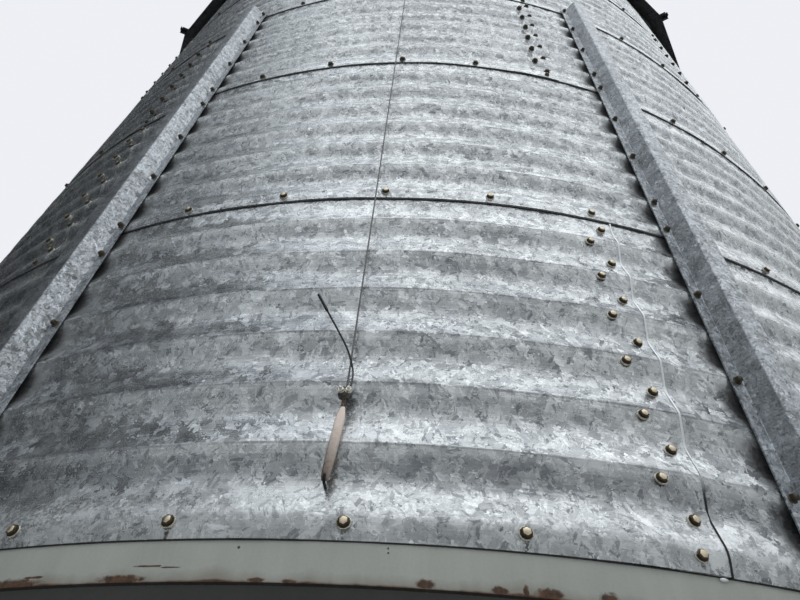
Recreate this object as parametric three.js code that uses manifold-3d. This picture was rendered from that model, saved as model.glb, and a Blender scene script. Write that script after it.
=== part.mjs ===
// A corrugated grain silo with a painted hopper, nine legs and a ribbed conical roof.
// Millimetres, +Z up, origin on the ground under the silo's axis. Angles are measured around the
// axis from the front, which faces -Y, and grow towards +X.
import * as THREE from 'three';
import { mergeVertices } from 'three/addons/utils/BufferGeometryUtils.js';
import Module from 'manifold-3d';

const wasm = await Module();
wasm.setup();

const DEGREE = Math.PI / 180;
const GAP = 0.3;
const ROUND_SIDES = 12;
const WIRE_SIDES = 8;

// Wall: sheets are bolted in columns, and one course is one sheet high.
const BOLT_COLUMNS = 54;
const BOLT_SPACING = 238.125;
const WALL_RADIUS = (BOLT_COLUMNS * BOLT_SPACING) / (2 * Math.PI);
const COLUMN_ANGLE = 360 / BOLT_COLUMNS;
const LAP_COLUMN_ANGLE = 11;
const WALL_BASE = 2400;
const COURSES = 5;
const COURSE_HEIGHT = 812.8;
const WAVES_PER_COURSE = 7;
const WAVE_PITCH = COURSE_HEIGHT / WAVES_PER_COURSE;
const WAVE_DEPTH = 14;
const FIRST_CREST = 28;
const LAP_STEP = 1.5;
const TOP_MARGIN = 40;
const TROUGH_THICKNESS = 4;
const WALL_INSIDE = WALL_RADIUS - WAVE_DEPTH - TROUGH_THICKNESS;
const WALL_SIDES = 36;

// Outside stiffeners: a hat section on every sixth bolt column.
const STIFFENERS = 9;
const STIFFENER_ANGLE = LAP_COLUMN_ANGLE + COLUMN_ANGLE;
const STIFFENER_STEP = 360 / STIFFENERS;
const STIFFENER_LENGTH = 2495;
const STIFFENER_SHEET = 3;
const WEB_WIDTH = 2.1;
const FLANGE_EDGE = 65;
const FLANGE_FOOT = 38;
const CROWN_HALF = 23;
const HAT_DEPTH = 46;

// Hopper: a band inside the foot of the wall and a 45 degree cone below it.
const BAND_DROP = 55;
const BAND_RISE = 70;
const BAND_THICKNESS = 8;
const BAND_RADIUS = WALL_INSIDE - GAP;
const CONE_SLOPE = 45 * DEGREE;
const CONE_THICKNESS = 6;
const OUTLET_RADIUS = 166;
const COLLAR_HEIGHT = 60;
const COLLAR_THICKNESS = 6;
const FLANGE_THICKNESS = 10;
const FLANGE_SIZE = 400;
const SLIDE_HEIGHT = 36;
const BLADE_WIDTH = 280;
const BLADE_REACH = 320;
const BLADE_THICKNESS = 6;
const HANDLE_RADIUS = 10;
const HANDLE_LENGTH = 168;

// Legs stand outside the band, one under each stiffener.
const LEG_SIZE = 100;
const FOOT_SIZE = 200;
const FOOT_THICKNESS = 12;
const GUSSET_THICKNESS = 10;
const GUSSET_REACH = 125;
const GUSSET_DROP = 250;
const TIE_BOTTOM = 900;
const TIE_HEIGHT = 60;
const TIE_THICKNESS = 8;

// Roof: flat panels between standing ribs, with the eave's corners at the ribs.
const ROOF_PANELS = 18;
const ROOF_SECTORS = 6;
const PANEL_ANGLE = 360 / ROOF_PANELS;
const RIB_ANGLE = 6.2;
const EAVE_RADIUS = 2146;
const EAVE_HEIGHT = WALL_BASE + 4097;
const ROOF_SLOPE = 30 * DEGREE;
const PANEL_THICKNESS = 4;
const RIB_WIDTH = 30;
const RIB_HEIGHT = 35;
const RIB_SINK = 2;
const RIB_OVERHANG = 50;
const RIB_CLEARANCE = 6;
const MOUTH_RADIUS = 330;
const NECK_THICKNESS = 4;
const NECK_RISE = 70;
const NECK_DROP = 25;
const COLLAR_REACH = 70;
const SKIRT_RISE = 5;
const LID_RADIUS = 345;
const LID_RISE = 84;
const LID_LIP = 6;
const LID_SHEET = 4;
const LID_CORE = 12;
const LID_PLAY = 4;
const LID_RIM = 30;
const EAVE_RING_OUT = 2034;
const EAVE_RING_WIDTH = 40;

// Pull wire of the lid. It comes down a little askew, so the clip and the guide have their own angles.
const CABLE_ANGLE = -2.5;
const CLIP_ANGLE = -2.93;
const CABLE_RADIUS = 1.6;
const CABLE_STANDOFF = 10;
const GUIDE_NOSE = 22;
const GUIDE_INSET = 14;
const GUIDE_RISE = 8;
const GUIDE_REACH = 80;
const GUIDE_OVERHANG = 2;
const NOSE_START = -20;
const NOSE_STEPS = 6;
const WIRE_TURN = 60;
const GUIDE_WIDTH = 40;
const SKEW_GAP = 0.8;
const LEVER_WIDTH = 30;
const LEVER_THICKNESS = 8;
const LEVER_START = 60;
const LEVER_END = 480;
const LEVER_TIP = 10;
const LEVER_KNEE = LID_RADIUS + 5;
const CLIP_BOTTOM = WALL_BASE + 224;
const CLIP_HEIGHT = 24;
const ROPE_SPREAD = 1.8;
const TAIL_STEPS = 16;
const SLEEVE_RADIUS = 2.6;
const SLEEVE_LENGTH = 44;
const SADDLE_WIDTH = 20;
const SADDLE_DEPTH = 13;
const SADDLE_STANDOFF = 2;
const STUD_SIDE = 6.2;
const STUD_RADIUS = 2.2;
const STUD_HEIGHT = 12;
const STUD_LENGTH = 10;
const NUT_RADIUS = 4.6;
const NUT_THICKNESS = 4;
const NUT_OUT = 16;
const EYE_WIDTH = 5;
const EYE_DEPTH = 4;
const STRAP_TOP = WALL_BASE + 207;
const STRAP_LENGTH = 122;
const STRAP_WIDTH = 15;
const STRAP_THICKNESS = 4;
const STRAP_LEAN = 5.5;
const HOOK_RADIUS = 2.2;
const HOOK_DROP = 3;
const HOOK_STEPS = 14;

function metal(color, roughness, metalness) {
  return new THREE.MeshStandardMaterial({ color, roughness, metalness });
}
const galvanised = metal(0xa9afb4, 0.45, 0.8);
const paint = metal(0xa3a79f, 0.55, 0.1);
const zinc = metal(0xb9a878, 0.4, 0.8);
const wire = metal(0x55585a, 0.5, 0.8);
const rubber = metal(0xb98a68, 0.7, 0);
const sleeve = metal(0x1c1d1f, 0.6, 0);

const silo = new THREE.Group();

function addPiece(name, geometry, material, angle = 0) {
  const mesh = new THREE.Mesh(geometry, material);
  mesh.name = name;
  mesh.rotation.z = angle * DEGREE;
  silo.add(mesh);
}

// A closed outline of [distance, height] turned around the axis as a polygon. Distances are to the
// middle of a flat side, and cornerAngle is where one corner stands.
function polygonRing(outline, sides, cornerAngle) {
  const toCorner = 1 / Math.cos(Math.PI / sides);
  const points = [...outline, outline[0]].map(([d, z]) => new THREE.Vector2(d * toCorner, z));
  const geometry = new THREE.LatheGeometry(points, sides, cornerAngle * DEGREE);
  return geometry.rotateX(Math.PI / 2);
}

// An outline of [outward distance, height] in the plane of the axis, given the stated width and
// standing at the front.
function radialPlate(outline, width) {
  const shape = new THREE.Shape(outline.map(([d, z]) => new THREE.Vector2(-d, z)));
  const geometry = new THREE.ExtrudeGeometry(shape, { depth: width, bevelEnabled: false });
  geometry.translate(0, 0, -width / 2);
  const basis = new THREE.Matrix4().makeBasis(
    new THREE.Vector3(0, 1, 0), new THREE.Vector3(0, 0, 1), new THREE.Vector3(1, 0, 0));
  return geometry.applyMatrix4(basis);
}

function box(width, depth, height, x, y, bottom) {
  return new THREE.BoxGeometry(width, depth, height).translate(x, y, bottom + height / 2);
}

function toSolid(geometry) {
  const bare = geometry.clone();
  bare.deleteAttribute('normal');
  bare.deleteAttribute('uv');
  const merged = mergeVertices(bare);
  const vertProperties = merged.attributes.position.array;
  const triVerts = new Uint32Array(merged.index.array);
  return new wasm.Manifold(new wasm.Mesh({ numProp: 3, vertProperties, triVerts }));
}

function toGeometry(solid) {
  const mesh = solid.getMesh();
  const geometry = new THREE.BufferGeometry();
  geometry.setAttribute('position', new THREE.BufferAttribute(mesh.vertProperties, 3));
  geometry.setIndex(new THREE.BufferAttribute(mesh.triVerts, 1));
  geometry.computeVertexNormals();
  return geometry;
}

function fuse(geometries) {
  return toGeometry(geometries.map(toSolid).reduce((whole, piece) => whole.add(piece)));
}

// Corrugated wall course: crests and troughs outside, a plain face inside. The lower edge stands out
// over the course below.
function wallCourse(number) {
  const bottom = WALL_BASE + (number - 1) * COURSE_HEIGHT;
  const margin = number === COURSES ? TOP_MARGIN : 0;
  const top = bottom + COURSE_HEIGHT + margin - GAP;
  const middle = WALL_RADIUS - WAVE_DEPTH / 2;
  const outline = [[WALL_INSIDE, bottom], [middle + LAP_STEP, bottom]];
  for (let i = 0; i < 2 * WAVES_PER_COURSE; i++) {
    const depth = i % 2 === 0 ? 0 : WAVE_DEPTH;
    outline.push([WALL_RADIUS - depth, bottom + FIRST_CREST + (i * WAVE_PITCH) / 2]);
  }
  outline.push([middle - LAP_STEP, top], [WALL_INSIDE, top]);
  return polygonRing(outline, WALL_SIDES, STIFFENER_ANGLE + 180 / WALL_SIDES);
}
for (let number = 1; number <= COURSES; number++) {
  addPiece(`wall_course_${number}`, wallCourse(number), galvanised);
}

// Hat section, seen from above, with its flanges against the crests of the wall.
function stiffener() {
  const back = [[FLANGE_EDGE, 0], [FLANGE_FOOT, 0], [CROWN_HALF, HAT_DEPTH - STIFFENER_SHEET]];
  const front = [
    [CROWN_HALF + WEB_WIDTH, HAT_DEPTH], [FLANGE_FOOT + WEB_WIDTH, STIFFENER_SHEET],
    [FLANGE_EDGE, STIFFENER_SHEET],
  ];
  const mirrored = (points) => points.map(([x, y]) => [-x, y]).reverse();
  const outline = [...back, ...mirrored(back), ...mirrored(front), ...front];
  const face = WALL_RADIUS + GAP;
  const shape = new THREE.Shape(outline.map(([x, y]) => new THREE.Vector2(x, -face - y)));
  const geometry = new THREE.ExtrudeGeometry(shape, { depth: STIFFENER_LENGTH, bevelEnabled: false });
  return geometry.translate(0, 0, WALL_BASE);
}
for (let i = 0; i < STIFFENERS; i++) {
  addPiece(`stiffener_${i + 1}`, stiffener(), galvanised, STIFFENER_ANGLE + i * STIFFENER_STEP);
}

// Painted band inside the foot of the wall, and the cone welded under it.
const bandBottom = WALL_BASE - BAND_DROP;
const bandTop = WALL_BASE + BAND_RISE;
const bandInside = BAND_RADIUS - BAND_THICKNESS;
const hopperCorner = STIFFENER_ANGLE + 180 / WALL_SIDES;
addPiece('hopper_ring', polygonRing(
  [[bandInside, bandBottom], [BAND_RADIUS, bandBottom], [BAND_RADIUS, bandTop], [bandInside, bandTop]],
  WALL_SIDES, hopperCorner), paint);

const coneTop = bandBottom - GAP;
const coneDrop = (BAND_RADIUS - OUTLET_RADIUS) * Math.tan(CONE_SLOPE);
const coneBottom = coneTop - coneDrop;
const coneWidth = CONE_THICKNESS / Math.sin(CONE_SLOPE);
addPiece('hopper_cone', polygonRing(
  [[OUTLET_RADIUS - coneWidth, coneBottom], [OUTLET_RADIUS, coneBottom],
    [BAND_RADIUS, coneTop], [BAND_RADIUS - coneWidth, coneTop]],
  WALL_SIDES, hopperCorner), paint);

// Round outlet collar with a square flange, and the slide bolted under it.
const collarTop = coneBottom - GAP;
const collarBottom = collarTop - COLLAR_HEIGHT;
const collarInside = OUTLET_RADIUS - COLLAR_THICKNESS;
const collarPipe = polygonRing(
  [[collarInside, collarBottom], [OUTLET_RADIUS, collarBottom], [OUTLET_RADIUS, collarTop],
    [collarInside, collarTop]], WALL_SIDES, hopperCorner);
const outletBore = new THREE.CylinderGeometry(collarInside, collarInside, COLLAR_HEIGHT, WALL_SIDES)
  .rotateX(Math.PI / 2).translate(0, 0, collarBottom);
const collarFlange = toSolid(box(FLANGE_SIZE, FLANGE_SIZE, FLANGE_THICKNESS, 0, 0, collarBottom))
  .subtract(toSolid(outletBore));
addPiece('outlet_collar', toGeometry(collarFlange.add(toSolid(collarPipe))), paint);

function outletSlide() {
  const top = collarBottom - GAP;
  const middle = top - SLIDE_HEIGHT / 2;
  const handle = new THREE.CylinderGeometry(HANDLE_RADIUS, HANDLE_RADIUS, HANDLE_LENGTH, ROUND_SIDES)
    .rotateZ(Math.PI / 2).translate(0, -BLADE_REACH, middle);
  return fuse([
    box(FLANGE_SIZE, FLANGE_SIZE, SLIDE_HEIGHT, 0, 0, top - SLIDE_HEIGHT),
    box(BLADE_WIDTH, BLADE_REACH, BLADE_THICKNESS, 0, -BLADE_REACH / 2, middle - BLADE_THICKNESS / 2),
    handle,
  ]);
}
addPiece('outlet_slide', outletSlide(), paint);

// Leg: square post with a foot plate and a gusset that follows the cone.
const legFace = BAND_RADIUS + GAP;
const legCentre = legFace + LEG_SIZE / 2;
function leg() {
  const gussetTop = coneTop - 2 * GAP;
  const gusset = radialPlate(
    [[legFace + LEG_SIZE / 2, gussetTop], [legFace, gussetTop],
      [legFace - GUSSET_REACH, gussetTop - GUSSET_REACH * Math.tan(CONE_SLOPE)],
      [legFace, gussetTop - GUSSET_DROP], [legFace + LEG_SIZE / 2, gussetTop - GUSSET_DROP]],
    GUSSET_THICKNESS);
  return fuse([
    box(LEG_SIZE, LEG_SIZE, WALL_BASE - GAP, 0, -legCentre, 0),
    box(FOOT_SIZE, FOOT_SIZE, FOOT_THICKNESS, 0, -legCentre, 0),
    gusset,
  ]);
}
for (let i = 0; i < STIFFENERS; i++) {
  addPiece(`leg_${i + 1}`, leg(), paint, STIFFENER_ANGLE + i * STIFFENER_STEP);
}

// Flat bar that ties the legs together, with its corners against them.
const tieSide = Math.cos(Math.PI / STIFFENERS);
const tieOut = (legFace - GAP) * tieSide;
addPiece('leg_tie_ring', polygonRing(
  [[tieOut - TIE_THICKNESS, TIE_BOTTOM], [tieOut, TIE_BOTTOM], [tieOut, TIE_BOTTOM + TIE_HEIGHT],
    [tieOut - TIE_THICKNESS, TIE_BOTTOM + TIE_HEIGHT]],
  STIFFENERS, STIFFENER_ANGLE), paint);

// Underside of the roof panels at a distance from the axis, measured square to a panel's eave.
const eaveDistance = EAVE_RADIUS * Math.cos(Math.PI / ROOF_PANELS);
function roofUnderside(distance) {
  return EAVE_HEIGHT + (eaveDistance - distance) * Math.tan(ROOF_SLOPE);
}
const panelRise = PANEL_THICKNESS / Math.cos(ROOF_SLOPE);
function roofTop(distance) {
  return roofUnderside(distance) + panelRise;
}

// Ring that fills the eave between the top of the wall and the panels.
const wallTop = WALL_BASE + COURSES * COURSE_HEIGHT + TOP_MARGIN;
const eaveRingIn = EAVE_RING_OUT - EAVE_RING_WIDTH;
addPiece('eave_ring', polygonRing(
  [[eaveRingIn, wallTop], [EAVE_RING_OUT, wallTop], [EAVE_RING_OUT, roofUnderside(EAVE_RING_OUT) - GAP],
    [eaveRingIn, roofUnderside(eaveRingIn) - GAP]],
  ROOF_PANELS, RIB_ANGLE), galvanised);

// Rib along the first edge of the panel whose middle is at the front.
function roofRib() {
  const half = Math.PI / ROOF_PANELS;
  const edge = (radius) => new THREE.Vector3(
    -radius * Math.sin(half), -radius * Math.cos(half), roofTop(radius * Math.cos(half)));
  const lower = edge(EAVE_RADIUS + RIB_OVERHANG);
  const upper = edge((MOUTH_RADIUS + COLLAR_REACH) / Math.cos(half) + RIB_CLEARANCE);
  const along = upper.clone().sub(lower);
  const length = along.length();
  along.normalize();
  const normal = new THREE.Vector3(0, -Math.sin(ROOF_SLOPE), Math.cos(ROOF_SLOPE));
  const across = normal.clone().cross(along);
  const inward = across.x > 0 ? 1 : -1;
  const centre = lower.clone().add(upper).multiplyScalar(0.5)
    .addScaledVector(across, inward * (RIB_WIDTH / 2 + GAP))
    .addScaledVector(normal, RIB_HEIGHT / 2 - RIB_SINK);
  const basis = new THREE.Matrix4().makeBasis(along, across, normal).setPosition(centre);
  return new THREE.BoxGeometry(length, RIB_WIDTH, RIB_HEIGHT).applyMatrix4(basis);
}

// Roof sectors: a polygon cone cut at the ribs, each sector with its own ribs on top.
const roofShell = toSolid(polygonRing(
  [[MOUTH_RADIUS, roofUnderside(MOUTH_RADIUS)], [eaveDistance, roofUnderside(eaveDistance)],
    [eaveDistance, roofTop(eaveDistance)], [MOUTH_RADIUS, roofTop(MOUTH_RADIUS)]],
  ROOF_PANELS, 0));
const sectorAngle = 360 / ROOF_SECTORS;
function sectorWedge() {
  const reach = 2 * EAVE_RADIUS;
  const half = (sectorAngle / 2) * DEGREE;
  const side = reach * Math.sin(half);
  const far = reach * Math.cos(half);
  const corners = [[0, 0], [side, -far], [0, -reach / Math.cos(half)], [-side, -far]];
  const shape = new THREE.Shape(corners.map(([x, y]) => new THREE.Vector2(x, y - GAP)));
  const geometry = new THREE.ExtrudeGeometry(shape, { depth: EAVE_RADIUS, bevelEnabled: false });
  return toSolid(geometry.translate(0, 0, EAVE_HEIGHT - PANEL_THICKNESS));
}
function roofSector() {
  const turned = roofShell.rotate([0, 0, -sectorAngle / 2]);
  let sector = turned.intersect(sectorWedge());
  const panels = ROOF_PANELS / ROOF_SECTORS;
  for (let i = 0; i < panels; i++) {
    const angle = (i + 0.5) * PANEL_ANGLE - sectorAngle / 2;
    sector = sector.add(toSolid(roofRib()).rotate([0, 0, angle]));
  }
  return toGeometry(sector);
}
for (let i = 0; i < ROOF_SECTORS; i++) {
  addPiece(`roof_panels_${i + 1}`, roofSector(), galvanised, RIB_ANGLE + (i + 0.5) * sectorAngle);
}

// Collar around the filling mouth: a skirt on the panels and a neck up to the lid.
const neckOut = MOUTH_RADIUS - GAP;
const neckIn = neckOut - NECK_THICKNESS;
const neckTop = roofTop(MOUTH_RADIUS) + NECK_RISE;
const skirtEdge = MOUTH_RADIUS + COLLAR_REACH;
const neckBottom = roofTop(MOUTH_RADIUS) - NECK_DROP;
addPiece('roof_collar', polygonRing(
  [[neckIn, neckBottom], [neckOut, neckBottom],
    [neckOut, roofTop(neckOut) + GAP], [skirtEdge, roofTop(skirtEdge) + GAP],
    [skirtEdge, roofTop(skirtEdge) + SKIRT_RISE], [neckOut, roofTop(neckOut) + SKIRT_RISE],
    [neckOut, neckTop], [neckIn, neckTop]],
  ROOF_PANELS, RIB_ANGLE), galvanised);

// Shallow conical lid with a rim outside the neck.
const lidSeat = neckTop + GAP;
const lidEdge = lidSeat + LID_LIP;
const lidSlope = LID_RISE / LID_RADIUS;
function lid() {
  const toCorner = 1 / Math.cos(Math.PI / ROOF_PANELS);
  const outline = [
    [0, lidEdge + LID_RISE - LID_CORE], [neckIn - LID_PLAY, lidSeat], [LID_RADIUS - LID_SHEET, lidSeat],
    [LID_RADIUS - LID_SHEET, lidEdge - LID_RIM], [LID_RADIUS, lidEdge - LID_RIM], [LID_RADIUS, lidEdge],
    [0, lidEdge + LID_RISE],
  ];
  const points = outline.map(([d, z]) => new THREE.Vector2(d * toCorner, z));
  return new THREE.LatheGeometry(points, ROOF_PANELS, RIB_ANGLE * DEGREE).rotateX(Math.PI / 2);
}
addPiece('fill_lid', lid(), galvanised);

// Guide on the eave: its round nose turns the wire from the wall to the roof.
const noseCentre = [eaveDistance - GUIDE_INSET, roofTop(eaveDistance - GUIDE_INSET) + GUIDE_RISE];
function noseArc(radius, from, to, steps) {
  const points = [];
  for (let i = 0; i <= steps; i++) {
    const angle = (from + ((to - from) * i) / steps) * DEGREE;
    points.push([noseCentre[0] + radius * Math.cos(angle), noseCentre[1] + radius * Math.sin(angle)]);
  }
  return points;
}
const guideTail = eaveDistance - GUIDE_REACH;
const guideHead = eaveDistance + GUIDE_OVERHANG;
addPiece('eave_guide', radialPlate(
  [...noseArc(GUIDE_NOSE, NOSE_START, WIRE_TURN, NOSE_STEPS), [guideTail, roofTop(guideTail) + GUIDE_RISE],
    [guideTail, roofTop(guideTail) + SKEW_GAP], [guideHead, roofTop(guideHead) + SKEW_GAP]],
  GUIDE_WIDTH), galvanised, CABLE_ANGLE);

// Lever on the lid that the wire pulls.
const wireNose = noseArc(GUIDE_NOSE + GAP + CABLE_RADIUS, 0, WIRE_TURN, NOSE_STEPS);
const wireLine = wireNose[NOSE_STEPS];
function wireHeight(distance) {
  return wireLine[1] + (wireLine[0] - distance) * Math.tan(ROOF_SLOPE);
}
const lidTop = (distance) => lidEdge + LID_RISE - lidSlope * distance;
addPiece('lid_lever', radialPlate(
  [[LEVER_START, lidTop(LEVER_START) + 2 * GAP], [LEVER_KNEE, lidTop(LEVER_KNEE) + 2 * GAP],
    [LEVER_END, wireHeight(LEVER_END) - LEVER_TIP / 2], [LEVER_END, wireHeight(LEVER_END) + LEVER_TIP / 2],
    [LEVER_KNEE, lidTop(LEVER_KNEE) + LEVER_THICKNESS],
    [LEVER_START, lidTop(LEVER_START) + LEVER_THICKNESS]],
  LEVER_WIDTH), galvanised, CABLE_ANGLE);

// A route through given points that is stepped point by point, with its sections on the bisectors.
const NEAR_ZERO = 1e-6;
class Route extends THREE.Curve {
  constructor(points) {
    super();
    this.points = points;
  }

  getUtoTmapping(u) {
    return u;
  }

  place(t) {
    const scaled = t * (this.points.length - 1);
    const index = Math.min(Math.floor(scaled + NEAR_ZERO), this.points.length - 2);
    return [index, scaled - index];
  }

  getPoint(t) {
    const [index, part] = this.place(t);
    return this.points[index].clone().lerp(this.points[index + 1], part);
  }

  getTangent(t) {
    const [index, part] = this.place(t);
    const ahead = this.points[index + 1].clone().sub(this.points[index]).normalize();
    if (index === 0 || part > 0.5) return ahead;
    return ahead.add(this.points[index].clone().sub(this.points[index - 1]).normalize()).normalize();
  }
}

function rod(radius) {
  const corners = [];
  for (let i = 0; i < WIRE_SIDES; i++) {
    const angle = (2 * Math.PI * i) / WIRE_SIDES;
    corners.push(new THREE.Vector2(radius * Math.cos(angle), radius * Math.sin(angle)));
  }
  return new THREE.Shape(corners);
}

function tube(curve, radius, steps) {
  return new THREE.ExtrudeGeometry(rod(radius), { extrudePath: curve, steps, bevelEnabled: false });
}

// Pull wire: up the wall from the clip, over the guide and along a panel to the lever.
const clipTop = CLIP_BOTTOM + CLIP_HEIGHT;
const ropeDistance = WALL_RADIUS + CABLE_STANDOFF;
const wireEnd = LEVER_END + CABLE_RADIUS * Math.sin(ROOF_SLOPE) + GAP;
const clipTurn = (CLIP_ANGLE - CABLE_ANGLE) * DEGREE;
const wireRoute = [
  [ropeDistance * Math.sin(clipTurn) + ROPE_SPREAD, ropeDistance * Math.cos(clipTurn), clipTop + GAP],
  ...wireNose.map(([d, z]) => [0, d, z]),
  [0, wireEnd, wireHeight(wireEnd)],
].map(([x, d, z]) => new THREE.Vector3(x, -d, z));
addPiece('lid_cable', tube(new Route(wireRoute), CABLE_RADIUS, wireRoute.length - 1), wire, CABLE_ANGLE);

// Free end of the wire above the clip, as [sideways, outward, height] from the clip's top.
const tailRoute = [
  [7, 11, 1.3], [8.5, 12, 9], [8.3, 13.5, 27], [3.2, 16, 48], [-5.6, 19, 73], [-21.8, 23, 105],
  [-48.5, 29, 154],
].map(([x, d, z]) => new THREE.Vector3(x, -WALL_RADIUS - d, clipTop + z));
const tailCurve = new THREE.CatmullRomCurve3(tailRoute);
addPiece('cable_tail', tube(tailCurve, CABLE_RADIUS, TAIL_STEPS), wire, CLIP_ANGLE);

const tailEnd = tailRoute[tailRoute.length - 1];
const sleeveAxis = tailEnd.clone().sub(tailRoute[tailRoute.length - 2]).normalize();
const sleeveRoute = [tailEnd.clone().addScaledVector(sleeveAxis, GAP),
  tailEnd.clone().addScaledVector(sleeveAxis, SLEEVE_LENGTH)];
addPiece('tail_sleeve', tube(new Route(sleeveRoute), SLEEVE_RADIUS, 1), sleeve, CLIP_ANGLE);

// Wire rope clip: saddle, two studs with nuts on the outer side, and the eye below it.
function ropeClip() {
  const back = WALL_RADIUS + SADDLE_STANDOFF;
  const height = CLIP_BOTTOM + STUD_HEIGHT;
  const saddle = box(SADDLE_WIDTH, SADDLE_DEPTH, CLIP_HEIGHT, 0, -back - SADDLE_DEPTH / 2, CLIP_BOTTOM);
  const eye = box(EYE_WIDTH, EYE_DEPTH, CLIP_BOTTOM - STRAP_TOP, 0, -ropeDistance, STRAP_TOP + GAP);
  const pieces = [saddle, eye];
  for (const x of [-STUD_SIDE, STUD_SIDE]) {
    pieces.push(new THREE.CylinderGeometry(STUD_RADIUS, STUD_RADIUS, STUD_LENGTH, ROUND_SIDES)
      .translate(x, -back - (SADDLE_DEPTH + STUD_LENGTH) / 2, height));
    pieces.push(new THREE.CylinderGeometry(NUT_RADIUS, NUT_RADIUS, NUT_THICKNESS, 6)
      .translate(x, -back - NUT_OUT, height));
  }
  return fuse(pieces);
}
addPiece('cable_clip', ropeClip(), zinc, CLIP_ANGLE);

// Rubber strap, bowed over the crest of the wall and leaning to the left on its way down.
const strapOut = CABLE_STANDOFF - STRAP_THICKNESS / 2;
function strap() {
  const bow = [[0, 0], [0.35, -3], [0.6, -4.5], [1, -6.5]];
  const face = bow.map(([part, out]) => [WALL_RADIUS + strapOut + out, STRAP_TOP - part * STRAP_LENGTH]);
  const front = face.map(([d, z]) => [d + STRAP_THICKNESS, z]).reverse();
  const geometry = radialPlate([...face, ...front], STRAP_WIDTH);
  geometry.translate(0, 0, -STRAP_TOP).rotateY(STRAP_LEAN * DEGREE);
  return geometry.translate(0, 0, STRAP_TOP);
}
addPiece('tension_strap', strap(), rubber, CLIP_ANGLE);

// Hook in the wall that the strap's lower end holds on to.
const hookSide = -STRAP_LENGTH * Math.sin(STRAP_LEAN * DEGREE);
const hookHeight = STRAP_TOP - STRAP_LENGTH * Math.cos(STRAP_LEAN * DEGREE) - HOOK_DROP;
const hookRoute = [[-12, 0], [1, -1], [6.5, -0.5], [8.8, 3.5], [8.8, 9]].map(([out, up]) =>
  new THREE.Vector3(hookSide, -WALL_RADIUS - out, hookHeight + up));
const hookCurve = new THREE.CatmullRomCurve3(hookRoute);
addPiece('wall_hook', tube(hookCurve, HOOK_RADIUS, HOOK_STEPS), wire, CLIP_ANGLE);

export default silo;
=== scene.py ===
# %% [markdown]
# # A corrugated grain silo
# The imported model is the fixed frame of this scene, and sizes stand here as named values in metres. A
# wall of lapped, corrugated sheets with stiffeners stands on a painted band, cone and legs, under a
# ribbed roof. The view looks up from close under the wall, so sheets and bolts fill the picture.

# %% Load the frame
from math import cos, pi, radians, sin, tan

import bmesh
import bpy
import numpy as np
from mathutils import Matrix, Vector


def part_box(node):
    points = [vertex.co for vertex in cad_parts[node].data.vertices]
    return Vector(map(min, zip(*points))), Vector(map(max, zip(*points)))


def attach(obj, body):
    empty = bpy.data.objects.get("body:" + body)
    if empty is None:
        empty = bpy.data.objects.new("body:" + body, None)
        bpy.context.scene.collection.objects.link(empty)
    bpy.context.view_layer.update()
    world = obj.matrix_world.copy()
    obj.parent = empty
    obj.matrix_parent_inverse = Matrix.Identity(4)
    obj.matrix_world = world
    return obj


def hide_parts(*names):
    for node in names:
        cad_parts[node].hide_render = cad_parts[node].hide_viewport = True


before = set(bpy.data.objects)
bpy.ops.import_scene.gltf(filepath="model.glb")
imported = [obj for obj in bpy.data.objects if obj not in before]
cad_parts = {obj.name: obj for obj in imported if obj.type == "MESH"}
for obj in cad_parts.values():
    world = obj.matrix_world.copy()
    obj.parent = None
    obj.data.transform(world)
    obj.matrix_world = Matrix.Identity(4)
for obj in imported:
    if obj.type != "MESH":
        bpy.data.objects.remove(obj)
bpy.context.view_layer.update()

print("nodes in the frame:", len(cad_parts))

# %% [markdown]
# ## The camera
# So close to a wall, perspective is everything. The camera stands 0.75 m in front of it, a little
# below its lower edge, tipped up by almost fifty degrees. Lens and angles come from fitting the rows
# and columns of bolts. A camera looks along its own -Z, so it is raised to the horizon first.

# %% Set up the camera
CAMERA_PLACE = (0.0, -2.799, 2.0143)
CAMERA_TURN = radians(2.416)
CAMERA_PITCH = radians(48.50)
CAMERA_ROLL = radians(4.362)
LENS_MM = 28.02
FILM_MM = 36.0

scene = bpy.context.scene
camera = bpy.data.objects.new("camera", bpy.data.cameras.new("camera"))
scene.collection.objects.link(camera)
scene.camera = camera
camera.data.lens = LENS_MM
camera.data.sensor_width = FILM_MM
camera.data.clip_start = 0.02
camera.data.clip_end = 200
camera.matrix_world = (
    Matrix.Translation(CAMERA_PLACE)
    @ Matrix.Rotation(CAMERA_TURN, 4, "Z")
    @ Matrix.Rotation(pi / 2 + CAMERA_PITCH, 4, "X")
    @ Matrix.Rotation(CAMERA_ROLL, 4, "Z")
)
print("camera looks along", [round(-x, 3) for x in camera.matrix_world.col[2][:3]])

# %% [markdown]
# ## Places around the wall
# Everything is counted in bolt columns: 54 stand 238 mm apart around the wall, and that sets its
# radius. Angles are measured from the front, which faces -Y, towards +X. At column 0, two sheets of
# the lowest course lap at the right of the picture.

# %% Name the driving sizes
BOLT_COLUMNS = 54
BOLT_SPACING = 0.238125
LAP_ANGLE = radians(11)
COURSES = 5

WALL_RADIUS = BOLT_COLUMNS * BOLT_SPACING / (2 * pi)
WALL_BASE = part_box("wall_course_1")[0].z
WALL_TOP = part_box("wall_course_5")[1].z
COURSE_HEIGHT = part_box("wall_course_2")[0].z - WALL_BASE
print("wall radius", round(WALL_RADIUS, 4), "course height", round(COURSE_HEIGHT, 4))

# %% Turn columns and angles into places
ANY_WAY = (0.31, 0.17, 0.93)


def column_angle(column):
    """Angle of a bolt column, from the front towards +X: one full turn holds all the columns."""
    return LAP_ANGLE + column * 2 * np.pi / BOLT_COLUMNS


def level_at(course, height):
    """Level of a height above a course's own lower edge."""
    return WALL_BASE + course * COURSE_HEIGHT + height


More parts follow.
